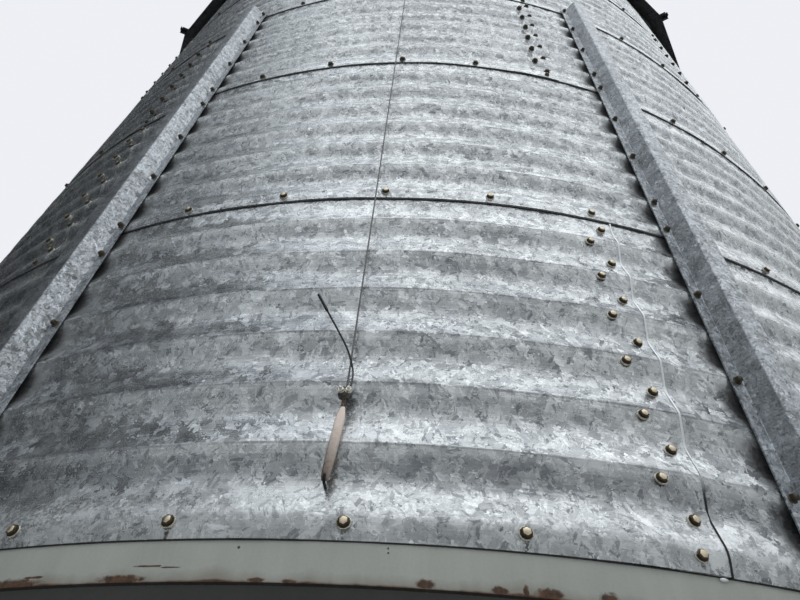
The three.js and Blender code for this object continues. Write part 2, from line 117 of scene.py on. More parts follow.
def around(angle, radius, height):
    """Points at a distance and height, turned around the axis: x is the distance times the sine of
    the angle, and y is minus the distance times its cosine."""
    angle, radius, height = np.broadcast_arrays(angle, radius, height)
    return np.stack([radius * np.sin(angle), -radius * np.cos(angle), height], -1)


def at_angle(points, angle):
    """Points of [across, out, up], turned around the axis to stand at an angle: across runs along
    the wall to the right, and out is the distance from the axis."""
    across, out, up = np.moveaxis(np.asarray(points, float), -1, 0)
    x = across * np.cos(angle) + out * np.sin(angle)
    return np.stack([x, across * np.sin(angle) - out * np.cos(angle), up], -1)


def unit(vectors):
    return vectors / np.linalg.norm(vectors, axis=-1, keepdims=True)


print("column 0 is at", round(column_angle(0) * 180 / pi, 2), "degrees")

# %% [markdown]
# ## Meshes from grids
# Most pieces are thin sheet, bent one way or turned around an axis. Such a piece is a grid of points
# worked out with numpy, a second grid one thickness behind it, and a rim between the two. A formula
# keeps every wave and lap where the bolts need it, as sculpting would not. A part is its points, its
# faces and its flat map.


# %% Number the cells of a grid
def grid_quads(rows, columns, wrap_rows=False, wrap_columns=True):
    """Corner numbers of each cell. A wrapped grid joins its last row or column to its first."""
    numbers = np.arange(rows * columns).reshape(rows, columns)
    numbers = np.pad(numbers, [(0, int(wrap_rows)), (0, int(wrap_columns))], "wrap")
    corners = [numbers[:-1, :-1], numbers[1:, :-1], numbers[1:, 1:], numbers[:-1, 1:]]
    return np.stack(corners, -1).reshape(-1, 4)


def flat_pairs(first, second):
    return np.stack(np.broadcast_arrays(first, second), -1).reshape(-1, 2)


def unmapped(points, quads):
    """A part whose flat map is nought everywhere."""
    points = np.reshape(points, (-1, 3))
    return points, quads, np.zeros((len(points), 2))


def slab(outer, inner, *flat):
    """The slab between two equal grids, closed around its rim, with one flat map for both sides."""
    rows, columns = outer.shape[:2]
    count = rows * columns
    numbers = np.arange(count).reshape(rows, columns)
    rim = np.concatenate(
        [numbers[0, :-1], numbers[:-1, -1], numbers[-1, :0:-1], numbers[:0:-1, 0]])
    ahead = np.roll(rim, -1)
    front = grid_quads(rows, columns, wrap_columns=False)
    edge = np.stack([rim, ahead, ahead + count, rim + count], -1)
    quads = np.concatenate([front, front[:, ::-1] + count, edge])
    return np.stack([outer, inner]).reshape(-1, 3), quads, np.tile(flat_pairs(*flat), (2, 1))


def outward(points, quads):
    """The quads as they are, or turned round where the volume that they enclose is negative: the sum
    over the triangles of a corner times the cross product of the other two."""
    volume = 0.0
    for second, third in ((1, 2), (2, 3)):
        cross = np.cross(points[quads[:, second]], points[quads[:, third]])
        volume += np.einsum("ij,ij->", points[quads[:, 0]], cross)
    return quads if volume > 0 else quads[:, ::-1]


def join(parts):
    """One part from several closed ones: the numbers of each start after the last one's."""
    points, quads, flats = zip(*parts)
    starts = np.cumsum([0] + [len(x) for x in points[:-1]])
    quads = [outward(x, y) + start for x, y, start in zip(points, quads, starts)]
    return np.concatenate(points), np.concatenate(quads), np.concatenate(flats)


print("a slab of 3 by 3 points:", len(slab(np.zeros((3, 3, 3)), np.ones((3, 3, 3)), 0, 0)[1]), "faces")

# %% Make small solids
TIP = 1e-5
CENTRE_SHARE = 1e-4
CAP_SHARE = 1e-3


def loft(levels, wrap_rows=False):
    """A solid through outlines of [x, y] at heights. Wrapped rows make a hollow post."""
    rings = [np.column_stack([ring, np.full(len(ring), level)]) for ring, level in levels]
    return unmapped(rings, grid_quads(len(rings), len(rings[0]), wrap_rows))


def stack_rings(rings, sides):
    """A solid from rings of [radius, height], bottom first, with each end drawn in to the axis. A
    ring of [radius, smaller radius, height] takes turns between the two, as a nut does."""
    rings = [ring if len(ring) == 3 else (ring[0], *ring) for ring in rings]
    rings = [(TIP, TIP, rings[0][2])] + rings + [(TIP, TIP, rings[-1][2])]
    numbers = np.arange(sides)[:, None]
    angles = numbers * 2 * np.pi / sides
    circle = np.hstack([np.cos(angles), np.sin(angles)])
    return loft([(circle * np.where(numbers % 2, small, large), up) for large, small, up in rings])


def plate(outline, low, high, bevel=0.0015):
    """A convex outline of [x, y] made into a plate with broken edges."""
    middle = np.mean(outline, 0)
    spokes = np.array(outline) - middle
    inset = middle + spokes * (1 - bevel / np.linalg.norm(spokes, axis=1))[:, None]
    centre = middle + spokes * CENTRE_SHARE
    return loft([(centre, low), (inset, low), (outline, low + bevel), (outline, high - bevel),
                 (inset, high), (centre, high)])


def rounded_box(width, depth, radius, steps=4):
    """Outline of a rectangle with round corners, around the origin."""
    corners = []
    for quarter, signs in enumerate([(1, 1), (-1, 1), (-1, -1), (1, -1)]):
        turns = np.linspace(0, np.pi / 2, steps) + quarter * np.pi / 2
        middle = np.multiply(signs, [width / 2 - radius, depth / 2 - radius])
        corners.append(radius * np.stack([np.cos(turns), np.sin(turns)], -1) + middle)
    return np.concatenate(corners)


def placed(part, place, order=(0, 1, 2), scale=1):
    """The part with its axes taken in another order, scaled, and moved to a place."""
    points, quads, flat = part
    return points[:, list(order)] * scale + place, quads, flat


print("a rounded square has", len(rounded_box(1, 1, 0.1)), "corners")


# %% Draw tubes along lines
def run_length(line):
    """Distance along the line to each of its points."""
    return np.concatenate([[0], np.cumsum(np.linalg.norm(np.diff(line, axis=0), axis=1))])


def curve_through(points, steps):
    """A smooth line through points, their Catmull-Rom curve: in each stretch a cubic whose slope at
    a point is half the step from the one before to the one after."""
    points = np.array(points, float)
    padded = np.vstack([2 * points[0] - points[1], points, 2 * points[-1] - points[-2]])
    share = (np.arange(steps) / steps)[:, None]
    line = []
    for a, b, c, d in zip(padded, padded[1:], padded[2:], padded[3:]):
        cubic = (3 * b - a - 3 * c + d) * share**3 + (2 * a - 5 * b + 4 * c - d) * share**2
        line.append((cubic + (c - a) * share + 2 * b) / 2)
    return np.vstack(line + [points[-1:]])


def capped(rings):
    """The rings with both ends closed: each end ring again, drawn in to its middle."""
    first, last = (ring.mean(0) + (ring - ring.mean(0)) * CAP_SHARE for ring in (rings[0], rings[-1]))
    return [first, *rings, last]


def tube(line, radius, sides=10, closed=False):
    """A round tube along a line, with the share of a turn and the distance along it as its flat
    map. At each point, what points along the line is taken out of the side direction."""
    line = np.array(line, float)
    ahead = np.roll(line, -1, 0) - np.roll(line, 1, 0)
    if not closed:
        ahead[0], ahead[-1] = line[1] - line[0], line[-1] - line[-2]
    ahead = unit(ahead)
    side = np.cross(ahead[0], ANY_WAY)
    turns = np.arange(sides)[:, None] * 2 * np.pi / sides
    rings = []
    for place, axis, reach in zip(line, ahead, np.broadcast_to(radius, len(line))):
        side = unit(side - axis * (side @ axis))
        rings.append(place + reach * (np.cos(turns) * side + np.sin(turns) * np.cross(axis, side)))
    points = np.stack(rings if closed else capped(rings))
    flat = flat_pairs(turns[:, 0] / (2 * np.pi), run_length(points.mean(1))[:, None])
    return points.reshape(-1, 3), grid_quads(len(points), sides, closed), flat


print("a straight tube has", len(tube([(0, 0, 0), (0, 0, 1)], 1.0)[1]), "faces")


# %% Put a mesh into the scene
def new_piece(name, parts, materials, nodes=(), sharp=30, finish=None, grain=None, mapped=True):
    """Makes a piece from parts. finish gives the number of each face's material, and grain a flat
    map besides the parts' own."""
    points, quads, flat = join(parts)
    mesh = bpy.data.meshes.new(name)
    mesh.vertices.add(len(points))
    mesh.vertices.foreach_set("co", points.astype(np.float32).ravel())
    mesh.loops.add(quads.size)
    mesh.loops.foreach_set("vertex_index", quads.astype(np.int32).ravel())
    mesh.polygons.add(len(quads))
    mesh.polygons.foreach_set("loop_start", np.arange(0, quads.size, 4, dtype=np.int32))
    mesh.update(calc_edges=True)
    for material in materials:
        mesh.materials.append(material)
    if finish is not None:
        mesh.polygons.foreach_set("material_index", finish.astype(np.int32))
    for map_name, places in (("grain", grain), ("flat", flat if mapped else None)):
        if places is not None:
            layer = mesh.uv_layers.new(name=map_name)
            layer.data.foreach_set("uv", places[quads].astype(np.float32).ravel())
    mesh.shade_smooth()
    mesh.set_sharp_from_angle(angle=radians(sharp))
    mesh.validate()
    piece = bpy.data.objects.new(name, mesh)
    scene.collection.objects.link(piece)
    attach(piece, "root")
    if nodes:
        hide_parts(*nodes)
    print(f"{name}: {len(quads)} faces")
    return piece


def numbered(*groups):
    """All the parts of some groups, and the number of its group for each of their faces."""
    counts = [sum(len(part[1]) for part in group) for group in groups]
    return sum(groups, []), np.repeat(np.arange(len(groups)), counts)


# %% [markdown]
# ## Shader maths in plain sums
# A weathered metal is a sum of masks: flakes, streaks, drips and rust. Wiring each Math node by hand
# hides the formula, so one small class wraps a socket and adds the nodes when it meets a plus or a
# times sign. Every other node comes from one method.


# %% Wrap a socket
class Wire:
    """A socket that can stand in a sum, such as 1 - mask * 0.5."""

    def __init__(self, graph, socket):
        self.graph = graph
        self.socket = socket

    def maths(self, operation, *values):
        return self.graph.node("Math", dict(enumerate((self, *values))), operation=operation)

    def __add__(self, other):
        return self.maths("ADD", other)

    def __sub__(self, other):
        return self.maths("SUBTRACT", other)

    def __rsub__(self, other):
        return self.maths("MULTIPLY_ADD", -1.0, other)

    def __mul__(self, other):
        return self.maths("MULTIPLY", other)

    __radd__ = __add__
    __rmul__ = __mul__

    def between(self, low, high):
        """0 up to low, 1 from high on, with an even slope between."""
        return self.graph.node("MapRange", {"Value": self, "From Min": low, "From Max": high})

    def until(self, low, high):
        """1 up to low, 0 from high on."""
        return 1 - self.between(low, high)

    def nearest(self, start, pitch):
        """Distance to the nearest of the lines that repeat every pitch from a start."""
        return (self - start).maths("PINGPONG", pitch / 2)

    def larger(self, other):
        return self.maths("MAXIMUM", other)


# %% Build node trees
class Graph:
    """A node tree being made."""

    def __init__(self, tree):
        self.tree = tree

    def node(self, kind, inputs=None, output=0, **options):
        """Adds a node, sets its options and then its sockets, and gives one output."""
        made = self.tree.nodes.new("ShaderNode" + kind)
        for option, value in options.items():
            setattr(made, option, value)
        for key, value in (inputs or {}).items():
            self.feed(made.inputs[key], value)
        return Wire(self, made.outputs[output]) if made.outputs else made

    def feed(self, socket, value):
        """Links a wire, or sets a value. Colours are given as red, green, blue."""
        if isinstance(value, Wire):
            self.tree.links.new(value.socket, socket)
        else:
            socket.default_value = (*value, 1.0) if socket.type == "RGBA" else value

    def flat_map(self, name="flat"):
        return self.node("UVMap", uv_map=name)

    def object_place(self):
        return self.node("TexCoord", output="Object")

    def vector(self, operation, *values, output=0):
        return self.node("VectorMath", dict(enumerate(values)), output, operation=operation)

    def noise(self, place, size, detail=3.0, roughness=0.55, stretch=None):
        """Cloudy noise from 0 to 1, with its largest lumps of about a size in metres, divided along
        each axis by the stretch."""
        place = self.vector("MULTIPLY", place, stretch) if stretch else place
        inputs = {"Vector": place, "Scale": 1 / size, "Detail": detail, "Roughness": roughness}
        return self.node("TexNoise", inputs)

    def cells(self, place, size, output="Color"):
        """Random cells of about a size, each with one colour."""
        return self.node("TexVoronoi", {"Vector": place, "Scale": 1 / size}, output)

    def split(self, vector, axis):
        return self.node("SeparateXYZ", {0: vector}, axis)

    def blend(self, factor, first, second):
        return self.node("Mix", {0: factor, 6: first, 7: second}, 2, data_type="RGBA")

    def tones(self, factor, tone, dark, light):
        """A blend from dark times a tone to light times it, which stops at white."""
        ends = [[min(1.0, share * x) for x in tone] for share in (dark, light)]
        return self.blend(factor, *ends)

    def spot(self, place, centre, size, ragged):
        """1 inside an oval on the flat map and 0 outside it, with a ragged rim."""
        offset = self.vector("SUBTRACT", place, (*centre, 0.0))
        scaled = self.vector("MULTIPLY", offset, (1 / size[0], 1 / size[1], 0.0))
        distance = self.vector("LENGTH", scaled, output=1)
        return (distance + (ragged - 0.5) * 1.6).until(0.65, 1.05)

    def bump(self, height, depth, **below):
        """Tips the surface by a height, times a depth in metres."""
        return self.node("Bump", {"Height": height, "Distance": depth, **below})


class Finish(Graph):
    """A material being made, with its Principled shader."""

    def __init__(self, name):
        self.material = bpy.data.materials.new(name)
        self.material.use_nodes = True
        super().__init__(self.material.node_tree)
        self.shader = self.tree.nodes["Principled BSDF"]

    def set(self, **values):
        """Feeds the shader's sockets, with _ for the space in a name."""
        for key, value in values.items():
            self.feed(self.shader.inputs[key.replace("_", " ")], value)
        return self.material


print("shader tools are ready")

# %% [markdown]
# ## Galvanised sheet
# Zinc freezes into crystals, called spangle, each with ribs that all run one way, so it mirrors the
# sky a little differently from the next. A Voronoi texture gives every crystal a random colour. One
# channel is its brightness, and another turns the place, which is then stretched and cut into shards.

# %% Make spangled zinc
FACET_TILT = 0.24
FLECK_STRETCH = (1.0, 3.6, 3.6)


def jagged(finish, place, size, reach):
    """The place, shifted by small cells of random colour, for jagged edges."""
    return finish.vector("MULTIPLY_ADD", finish.cells(place, size), (reach,) * 3, place)


def spangle(finish, place, flake):
    """Brightness of the crystals, masks of their dark and light flecks, and a height that tips every
    crystal its own way: the dot product of the offset from its middle and a random direction."""
    edged = jagged(finish, place, flake * 0.33, flake * 0.5)
    crystal = finish.cells(edged, flake)
    offset = finish.vector("SUBTRACT", edged, finish.cells(edged, flake, "Position"))
    tilt = finish.vector("SUBTRACT", crystal, (0.5, 0.5, 0.5))
    facet = finish.vector("DOT_PRODUCT", offset, tilt, output=1)
    inputs = {"Vector": place, "Angle": finish.split(crystal, 1) * pi}
    turned_place = finish.node("VectorRotate", inputs, rotation_type="Z_AXIS")
    drawn = finish.vector("MULTIPLY", turned_place, FLECK_STRETCH)
    shard = finish.cells(jagged(finish, drawn, flake * 0.45, flake * 0.6), flake * 1.25)
    dark, light = (finish.split(shard, channel).between(0.80, 0.84) for channel in (0, 1))
    return finish.split(crystal, 0), dark, light, facet


def zinc_sheet(name, map_name, flake, tone, gloss, marks=None, contrast=1.0):
    """Weathered zinc on a flat map, or on the object's own place. marks may give a mask of bloom, a lift
    of the brightness that paints light and shade, a mask of dirt and painted shade, and its colour."""
    finish = Finish(name)
    place = finish.flat_map(map_name) if map_name else finish.object_place()
    crystal, dark, light, facet = spangle(finish, place, flake)
    frost = finish.noise(place, 0.045, 2, 0.5)
    clouds = finish.noise(place, 0.30, 4)
    drawn = finish.noise(place, 0.04, 3, stretch=(0.12, 9.0, 1.0))
    shade = ((crystal - 0.5) * 0.40 + light * 0.26 - dark * 0.34 + (frost - 0.5) * 0.7
             + (clouds - 0.5) * 0.5 + (drawn - 0.5) * 0.3) * contrast + 0.5
    rough = gloss + dark * 0.12 + (frost - 0.5) * 0.25
    metallic = 0.9
    if marks:
        bloom, lift, dirt_and_shade, dirt = marks(finish)
        shade = shade - bloom * 0.04 + lift
        rough = rough + bloom * 0.2 + dirt_and_shade * 0.3
        metallic = 0.9 - bloom * 0.45 - dirt_and_shade * 0.8
    base = finish.tones(shade.between(0.0, 1.0), tone, 0.42, 1.5)
    if marks:
        # Dirt and painted shade go over the zinc here.
        base = finish.blend(dirt_and_shade, base, dirt)
    ripple = finish.noise(place, 0.09, 2)
    facets = finish.bump(facet, FACET_TILT)
    normal = finish.bump(ripple * 0.7 + drawn * 0.3, 0.0014, Normal=facets)
    return finish.set(Base_Color=base, Roughness=rough, Metallic=metallic, Normal=normal)


RIDGE_RISE = 0.037
WAVE_PITCH = COURSE_HEIGHT / 7
HAT_EDGE = 0.065
# Brown serves runs of dirt and the painted shade of the creases; black is painted shade only.
BROWN_DIRT_AND_SHADE = (0.055, 0.045, 0.038)
NOOK_SHADE = (0.012, 0.013, 0.016)
hat_low, hat_high = (corner.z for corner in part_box("stiffener_1"))


def wall_marks(finish):
    """White bloom in grains lies on the lowest hand's width of the wall. The lift is painted light and
    shade: it brightens or dims bands along the waves, at flanks, ridges and the line below each ridge.
    They are stronger away from the front, and weaker, with the wall a little darker, halfway up the first
    course. Brown runs hang below some of the lowest bolts, a patchy dark line of painted shade follows
    the crease below every ridge, and painted black shade fills the troughs beside the stiffeners."""
    place = finish.flat_map()
    along, rise = finish.split(place, 0), finish.split(place, 1)
    from_ridge = rise.nearest(RIDGE_RISE, WAVE_PITCH)
    from_flank = rise.nearest(RIDGE_RISE + 0.023, WAVE_PITCH)
    below_ridge = rise.nearest(RIDGE_RISE - 0.010, WAVE_PITCH)
    above_first = rise.between(0.055, 0.100)
    from_front = along.nearest(-LAP_ANGLE * WALL_RADIUS, BOLT_COLUMNS * BOLT_SPACING)
    aside_front = from_front.between(0.62, 0.86)
    first_trough = rise.between(0.086, 0.104) * rise.until(0.130, 0.150)
    # Halfway up the first course the painted bands are weaker and the wall a little darker.
    first_course_dim = rise.between(0.12, 0.22) * rise.until(0.50, 0.70)
    # Painted light and shade along the waves, stronger away from the front.
    lift = (from_flank.until(0.018, 0.032) * (0.07 - first_course_dim * 0.17)
            - from_flank.between(0.034, 0.048) * (0.11 - first_course_dim * 0.11)
            - from_ridge.until(0.003, 0.014) * above_first * (first_course_dim * 0.10 + 0.06)
            + below_ridge.until(0.004, 0.011) * above_first * (first_course_dim * 0.03 + 0.12)
            + (0.72 - from_flank.between(0.014, 0.040)) * aside_front * 0.38
            + from_ridge.until(0.002, 0.008) * aside_front * 0.26
            - first_course_dim * 0.07 - first_trough * 0.14 + rise.until(0.06, 0.09) * 0.05 + 0.075)
    worn = finish.noise(place, 0.20, 3, stretch=(1.0, 6.0, 0.0)).between(0.40, 0.56)
    # Painted shade: a thin dark line in the crease just below every ridge, in patches.
    crease = rise.nearest(RIDGE_RISE - 0.0015, WAVE_PITCH).until(0.0004, 0.0024) * worn * above_first * 0.30
    wobble = finish.noise(place, 0.008, 2) - 0.5
    beside = along.nearest(0.0, BOLT_SPACING) + wobble * 0.006
    some = finish.noise(place, 0.4, 1, stretch=(1.0, 0.0, 0.0)).between(0.38, 0.55)
    flakes = finish.noise(place, 0.005, 2).between(0.42, 0.52)
    runs = (beside - rise * 0.12).until(0.0004, 0.0022) * rise.until(0.020, 0.028) * some * flakes * 0.9
    aside = along.nearest(BOLT_SPACING, BOLT_SPACING * 6) + wobble * 0.004
    # Painted shade: black in the troughs beside the stiffeners, which keep the sky off them.
    nook = aside.until(HAT_EDGE + 0.006, HAT_EDGE + 0.034) * from_ridge.between(0.006, 0.030)
    nook = nook * rise.until(hat_high - WALL_BASE - 0.01, hat_high - WALL_BASE) * 0.85
    cover = (rise + (finish.noise(place, 0.12, 3) - 0.5) * 0.10).until(0.05, 0.09)
    grains = finish.noise(place, 0.006, 3, 0.6).between(0.44, 0.58)
    bloom = cover * (grains * 0.75 + 0.15)
    # Brown for runs of dirt and the creases' painted shade, black for the painted shade by the stiffeners.
    dirt = finish.blend(nook, BROWN_DIRT_AND_SHADE, NOOK_SHADE)
    return bloom, lift, runs.larger(crease).larger(nook), dirt


wall_zinc = zinc_sheet("wall_zinc", "grain", 0.016, (0.652, 0.688, 0.735), 0.25, wall_marks)
section_zinc = zinc_sheet("section_zinc", "flat", 0.009, (0.50, 0.525, 0.55), 0.34, None, 1.5)
cast_zinc = zinc_sheet("cast_zinc", None, 0.012, (0.46, 0.48, 0.50), 0.42)
print("zinc finishes:", wall_zinc.name, section_zinc.name, cast_zinc.name)

# %% [markdown]
# ## Wall sheets
# A course is a ring of sheets, twelve bolt columns long, rolled into waves. Every course hangs outside
# the one below, and each sheet laps over the next one on its right, which leaves thin steps that catch
# shadows. One formula gives the radius anywhere, and each sheet is that surface between its edges.

# %% Name the sheet's sizes
CREST_INSET = 0.0014
WAVE_DEPTH = 0.0125
FLATNESS = 0.07
BOLT_RISE = 0.028
EDGE_LIFT = 0.006
RIDGE_HEIGHT = 0.0010
RIDGE_WIDTH = 0.0065
SHEET = 0.0012
DENT_DEPTH = 0.0036
LIP_SWELL = 0.0009
LIP_PRESS = 0.15
TOP_PRESS = 0.45
TUCK = 0.0022
PRESS_START, PRESS_WIDTH = 0.068, 0.05
LIP_START, LIP_WIDTH = 0.018, 0.03
TUCK_START, TUCK_WIDTH = 0.004, 0.02
RIDGE_START, RIDGE_FADE = 0.045, 0.04
STEP_START, STEP_WIDTH = 0.55, 0.3
COVER_START, COVER_WIDTH = 0.012, 0.010
SIDE_STEP = 0.0024
UNDERLAP = 0.044
LAP_LEFT = 0.20
LAP_RIGHT = 0.165
LAP_STARTS = [
    [0, 12, 24, 30, 42],
    [-6, 6, 18, 30, 42],
    [-6, 0, 12, 24, 36],
    [4, 16, 28, 34, 46],
    [9, 21, 33, 39, 51],
]
print("lowest laps at columns", LAP_STARTS[0])


# %% Work out the wall's radius
def smooth(share):
    """Goes from 0 to 1 with a level start and end: three squares less two cubes."""
    share = np.clip(share, 0, 1)
    return share * share * (3 - 2 * share)


def wave(height):
    """Distance behind the crests: a cosine with one turn a pitch and a small part of one with three
    turns. The rolls leave a fine ridge on every crest but the first: it stands out by its height
    times e to the power of minus the distance over its width."""
    turns = (height - RIDGE_RISE) / WAVE_PITCH
    shape = (np.cos(2 * np.pi * turns) + FLATNESS * np.cos(6 * np.pi * turns)) / (1 + FLATNESS)
    ridge = RIDGE_HEIGHT * np.exp(-np.abs(turns - np.round(turns)) * WAVE_PITCH / RIDGE_WIDTH)
    return WAVE_DEPTH / 2 * (1 - shape) - ridge * smooth((height - RIDGE_START) / RIDGE_FADE)


rng = np.random.default_rng(7)
DENT_TURNS = rng.integers(6, 46, 26)
DENT_RISE = rng.normal(0, 9, 26)
DENT_START = rng.uniform(0, 2 * np.pi, 26)


def dents(column, height):
    """Slow waviness: a mean of cosines, each with whole turns around the wall and its own slope."""
    angle = column_angle(column)[..., None]
    turns = DENT_TURNS * angle + DENT_RISE * height[..., None] + DENT_START
    return DENT_DEPTH * np.cos(turns).mean(-1)


def wall_radius(column, height, course):
    """Radius of a course's outer face at a height above its lower edge: the crests' radius, less the
    wave, which is pressed flatter at both seams, plus a swell between the bolts of the lip, less the
    tuck of its top behind the next course."""
    column, height = np.broadcast_arrays(column, height)
    pressed = 1 - (1 - TOP_PRESS) * smooth((height - COURSE_HEIGHT + PRESS_START) / PRESS_WIDTH)
    if course:
        pressed = pressed * (LIP_PRESS + (1 - LIP_PRESS) * smooth((height - LIP_START) / LIP_WIDTH))
    swell = LIP_SWELL * np.sin(np.pi * column) ** 2 * (1 - smooth(height / BOLT_RISE))
    tuck = TUCK * smooth((height - COURSE_HEIGHT + TUCK_START) / TUCK_WIDTH)
    slow = dents(column, height + course * COURSE_HEIGHT)
    return WALL_RADIUS - CREST_INSET - wave(height) * pressed + swell - tuck + slow


trough_depth = wave(RIDGE_RISE + WAVE_PITCH / 2) - wave(RIDGE_RISE)
print("a trough lies", round(float(trough_depth), 4), "m behind a ridge")

# %% Roll the sheets
STEPS_PER_COLUMN = 4
ROW_GAP = 0.003
RIDGE_ROWS = np.array([0.0, 0.0016, 0.004, 0.0075, 0.0125, 0.019, 0.027, 0.037, 0.048])


def sheet_rows(top):
    """Heights of a sheet's rows: close together at every ridge."""
    ridges = RIDGE_RISE + WAVE_PITCH * np.arange(-1, 9)[:, None]
    rows = np.unique(np.concatenate([ridges - RIDGE_ROWS, ridges + RIDGE_ROWS]))
    return np.concatenate([[EDGE_LIFT], rows[(rows > EDGE_LIFT + ROW_GAP) & (rows < top - ROW_GAP)], [top]])


def wall_sheet(first, last, course):
    """One sheet from its hidden left edge to its right edge, which stands one step out over the next
    sheet, except under the course above."""
    top = min(WALL_TOP - level_at(course, 0), COURSE_HEIGHT + UNDERLAP)
    count = round((last - first) * STEPS_PER_COLUMN) + 3
    columns = np.linspace(first - LAP_LEFT, last + LAP_RIGHT, count)
    column, height = np.meshgrid(columns, sheet_rows(top), indexing="ij")
    side = SIDE_STEP * smooth((column - last + STEP_START) / STEP_WIDTH)
    side = side * (1 - smooth((height - COURSE_HEIGHT + COVER_START) / COVER_WIDTH))
    radius = wall_radius(column, height, course) + side
    angle, level = column_angle(column), level_at(course, height)
    outer, inner = (around(angle, radius - depth, level) for depth in (0, SHEET))
    return slab(outer, inner, column * BOLT_SPACING, level - WALL_BASE)


def wall_course(course):
    """The sheets of a course as one piece, each with its flakes shifted by chance."""
    starts = LAP_STARTS[course]
    ends = starts[1:] + [starts[0] + BOLT_COLUMNS]
    sheets = [wall_sheet(first, last, course) for first, last in zip(starts, ends)]
    shifts = rng.uniform(0, 40, (len(sheets), 2))
    grain = np.concatenate([sheet[2] + shift for sheet, shift in zip(sheets, shifts)])
    node = f"wall_course_{course + 1}"
    new_piece(f"sheets_{course + 1}", sheets, [wall_zinc], [node], grain=grain)


for course in range(COURSES):
    wall_course(course)

# %% Squeeze sealant out of the laps
# The black sealant also stands in for shadows at laps and seams, its pale part for a lit lap edge.
BEAD_WIDTH = 0.0022
BEAD_HEIGHT = 0.0020
BEAD_UNDER = 0.0016
BEAD_SINK = 0.0004
STRIP_DROP = 0.0045
BAND_STRIP_DROP = 0.0011
BAND_STRIP_BACK = 0.0125
STRIP_TOP = 0.0020
STRIP_BACK = 0.0010
STRIP_INSET = 0.0007
LUMP_RINGS = [(0.0030, 0), (0.0062, 0.0012), (0.0066, 0.0028), (0.0040, 0.0044)]


def sealant_finish():
    """Black sealant, partly painted shadow, pale as a painted highlight on laps above the first wave."""
    finish = Finish("lap_sealant")
    place = finish.flat_map()
    across, rise = finish.split(place, 0), finish.split(place, 1)
    lumps = finish.noise(place, 0.05, 3)
    pale_highlight = (rise + (lumps - 0.5) * 0.10 - across * 0.02).between(0.125, 0.150)
    base = finish.blend(pale_highlight, (0.018, 0.018, 0.020), (0.96, 0.98, 1.0))
    return finish.set(Base_Color=base, Roughness=0.5 - pale_highlight * 0.1, Metallic=pale_highlight * 0.8)


def lap_bead(column):
    """A bead along the right edge of a sheet of the lowest course: part of a sine across, and wider
    higher up. Its flat map has the share across and the height."""
    heights = np.linspace(EDGE_LIFT - 0.001, COURSE_HEIGHT - 0.001, 120)
    part, height = np.meshgrid(np.linspace(0, 1, 5), heights, indexing="ij")
    reach = BEAD_WIDTH * (1 + smooth((height - 0.12) / 0.14)) + 0.0005 * np.sin(height * 61 + column)
    place = column + LAP_RIGHT + (part * (reach + BEAD_UNDER) - BEAD_UNDER) / BOLT_SPACING
    base = wall_radius(place, height, 0)
    top = base + (SIDE_STEP + BEAD_HEIGHT) * np.sin(np.pi * (0.25 + 0.75 * part)) ** 0.6
    angle, level = column_angle(place), level_at(0, height)
    return slab(around(angle, top, level), around(angle, base - BEAD_SINK, level), part, height)


def sagged_lump(column):
    """A lump of sealant that sagged out under the wall's edge, with a flat map that makes it pale."""
    place = [0, WALL_RADIUS - 0.0114, WALL_BASE + EDGE_LIFT - 0.0038]
    points, quads, flat = placed(stack_rings(LUMP_RINGS, 10), place, (0, 2, 1), [1, 1, 0.42])
    return at_angle(points, column_angle(column)), quads, flat + 0.5


def seam_strip(course):
    """A black sealing strip below the edge of a course, against the course below or the band. It also
    stands in for the painted shadow under that edge.
    """
    column = np.arange(BOLT_COLUMNS * STEPS_PER_COLUMN) / STEPS_PER_COLUMN
    drop = STRIP_DROP if course else BAND_STRIP_DROP
    inner = WALL_RADIUS - BAND_STRIP_BACK + 0 * column
    if course:
        inner = wall_radius(column, EDGE_LIFT - drop + COURSE_HEIGHT, course - 1) - STRIP_BACK
    outer = wall_radius(column, EDGE_LIFT, course) - STRIP_INSET
    heights = EDGE_LIFT + np.array([STRIP_TOP, -drop, -drop, STRIP_TOP])[:, None]
    points = around(column_angle(column), np.stack([outer, outer, inner, inner]), level_at(course, heights))
    return unmapped(points, grid_quads(4, len(column), wrap_rows=True))


beads = [seam_strip(course) for course in range(COURSES)]
beads += [lap_bead(column) for column in LAP_STARTS[0]]
beads += [sagged_lump(column + LAP_RIGHT - 0.05) for column in LAP_STARTS[0]]
new_piece("lap_sealant", beads, [sealant_finish()], sharp=60)

# %% [markdown]
# ## Stiffeners
# A hat section is one strip of steel folded four times. It is drawn as the middle line of the strip
# with small arcs at the folds, given half a thickness each way, and carried up the wall.

# %% Name the hat's sizes
HATS = 9
HAT_SHEET = 0.003
HAT_FOLD = 0.007
HAT_TOE = 0.003
HAT_FOOT = 0.039
HAT_CROWN = 0.024
HAT_DEPTH = 0.046
HAT_GAP = 0.0006
HAT_LEVELS = 12
FLAKE_SHIFT = 1.7
hat_angles = column_angle(1 + 6 * np.arange(HATS))
print("stiffeners reach", round(hat_high - hat_low, 3), "m up the wall")


# %% Fold a strip
def rounded(corners, radius, steps=5):
    """A line through corners with an arc at each. The arc starts and ends at the radius times the
    tangent of half the turn from the corner, and blends the two straight legs that meet there."""
    corners = np.array(corners, float)
    line = [corners[:1]]
    radii = np.broadcast_to(radius, len(corners) - 2)
    share = np.linspace(0, 1, steps)[:, None]
    for before, corner, after, radius in zip(corners[:-2], corners[1:-1], corners[2:], radii):
        back, ahead = unit(before - corner), unit(after - corner)
        reach = radius * np.tan((np.pi - np.arccos(np.clip(back @ ahead, -1, 1))) / 2)
        start, end = corner + back * reach, corner + ahead * reach
        line.append((1 - share) ** 2 * start + 2 * share * (1 - share) * corner + share**2 * end)
    return np.concatenate(line + [corners[-1:]])


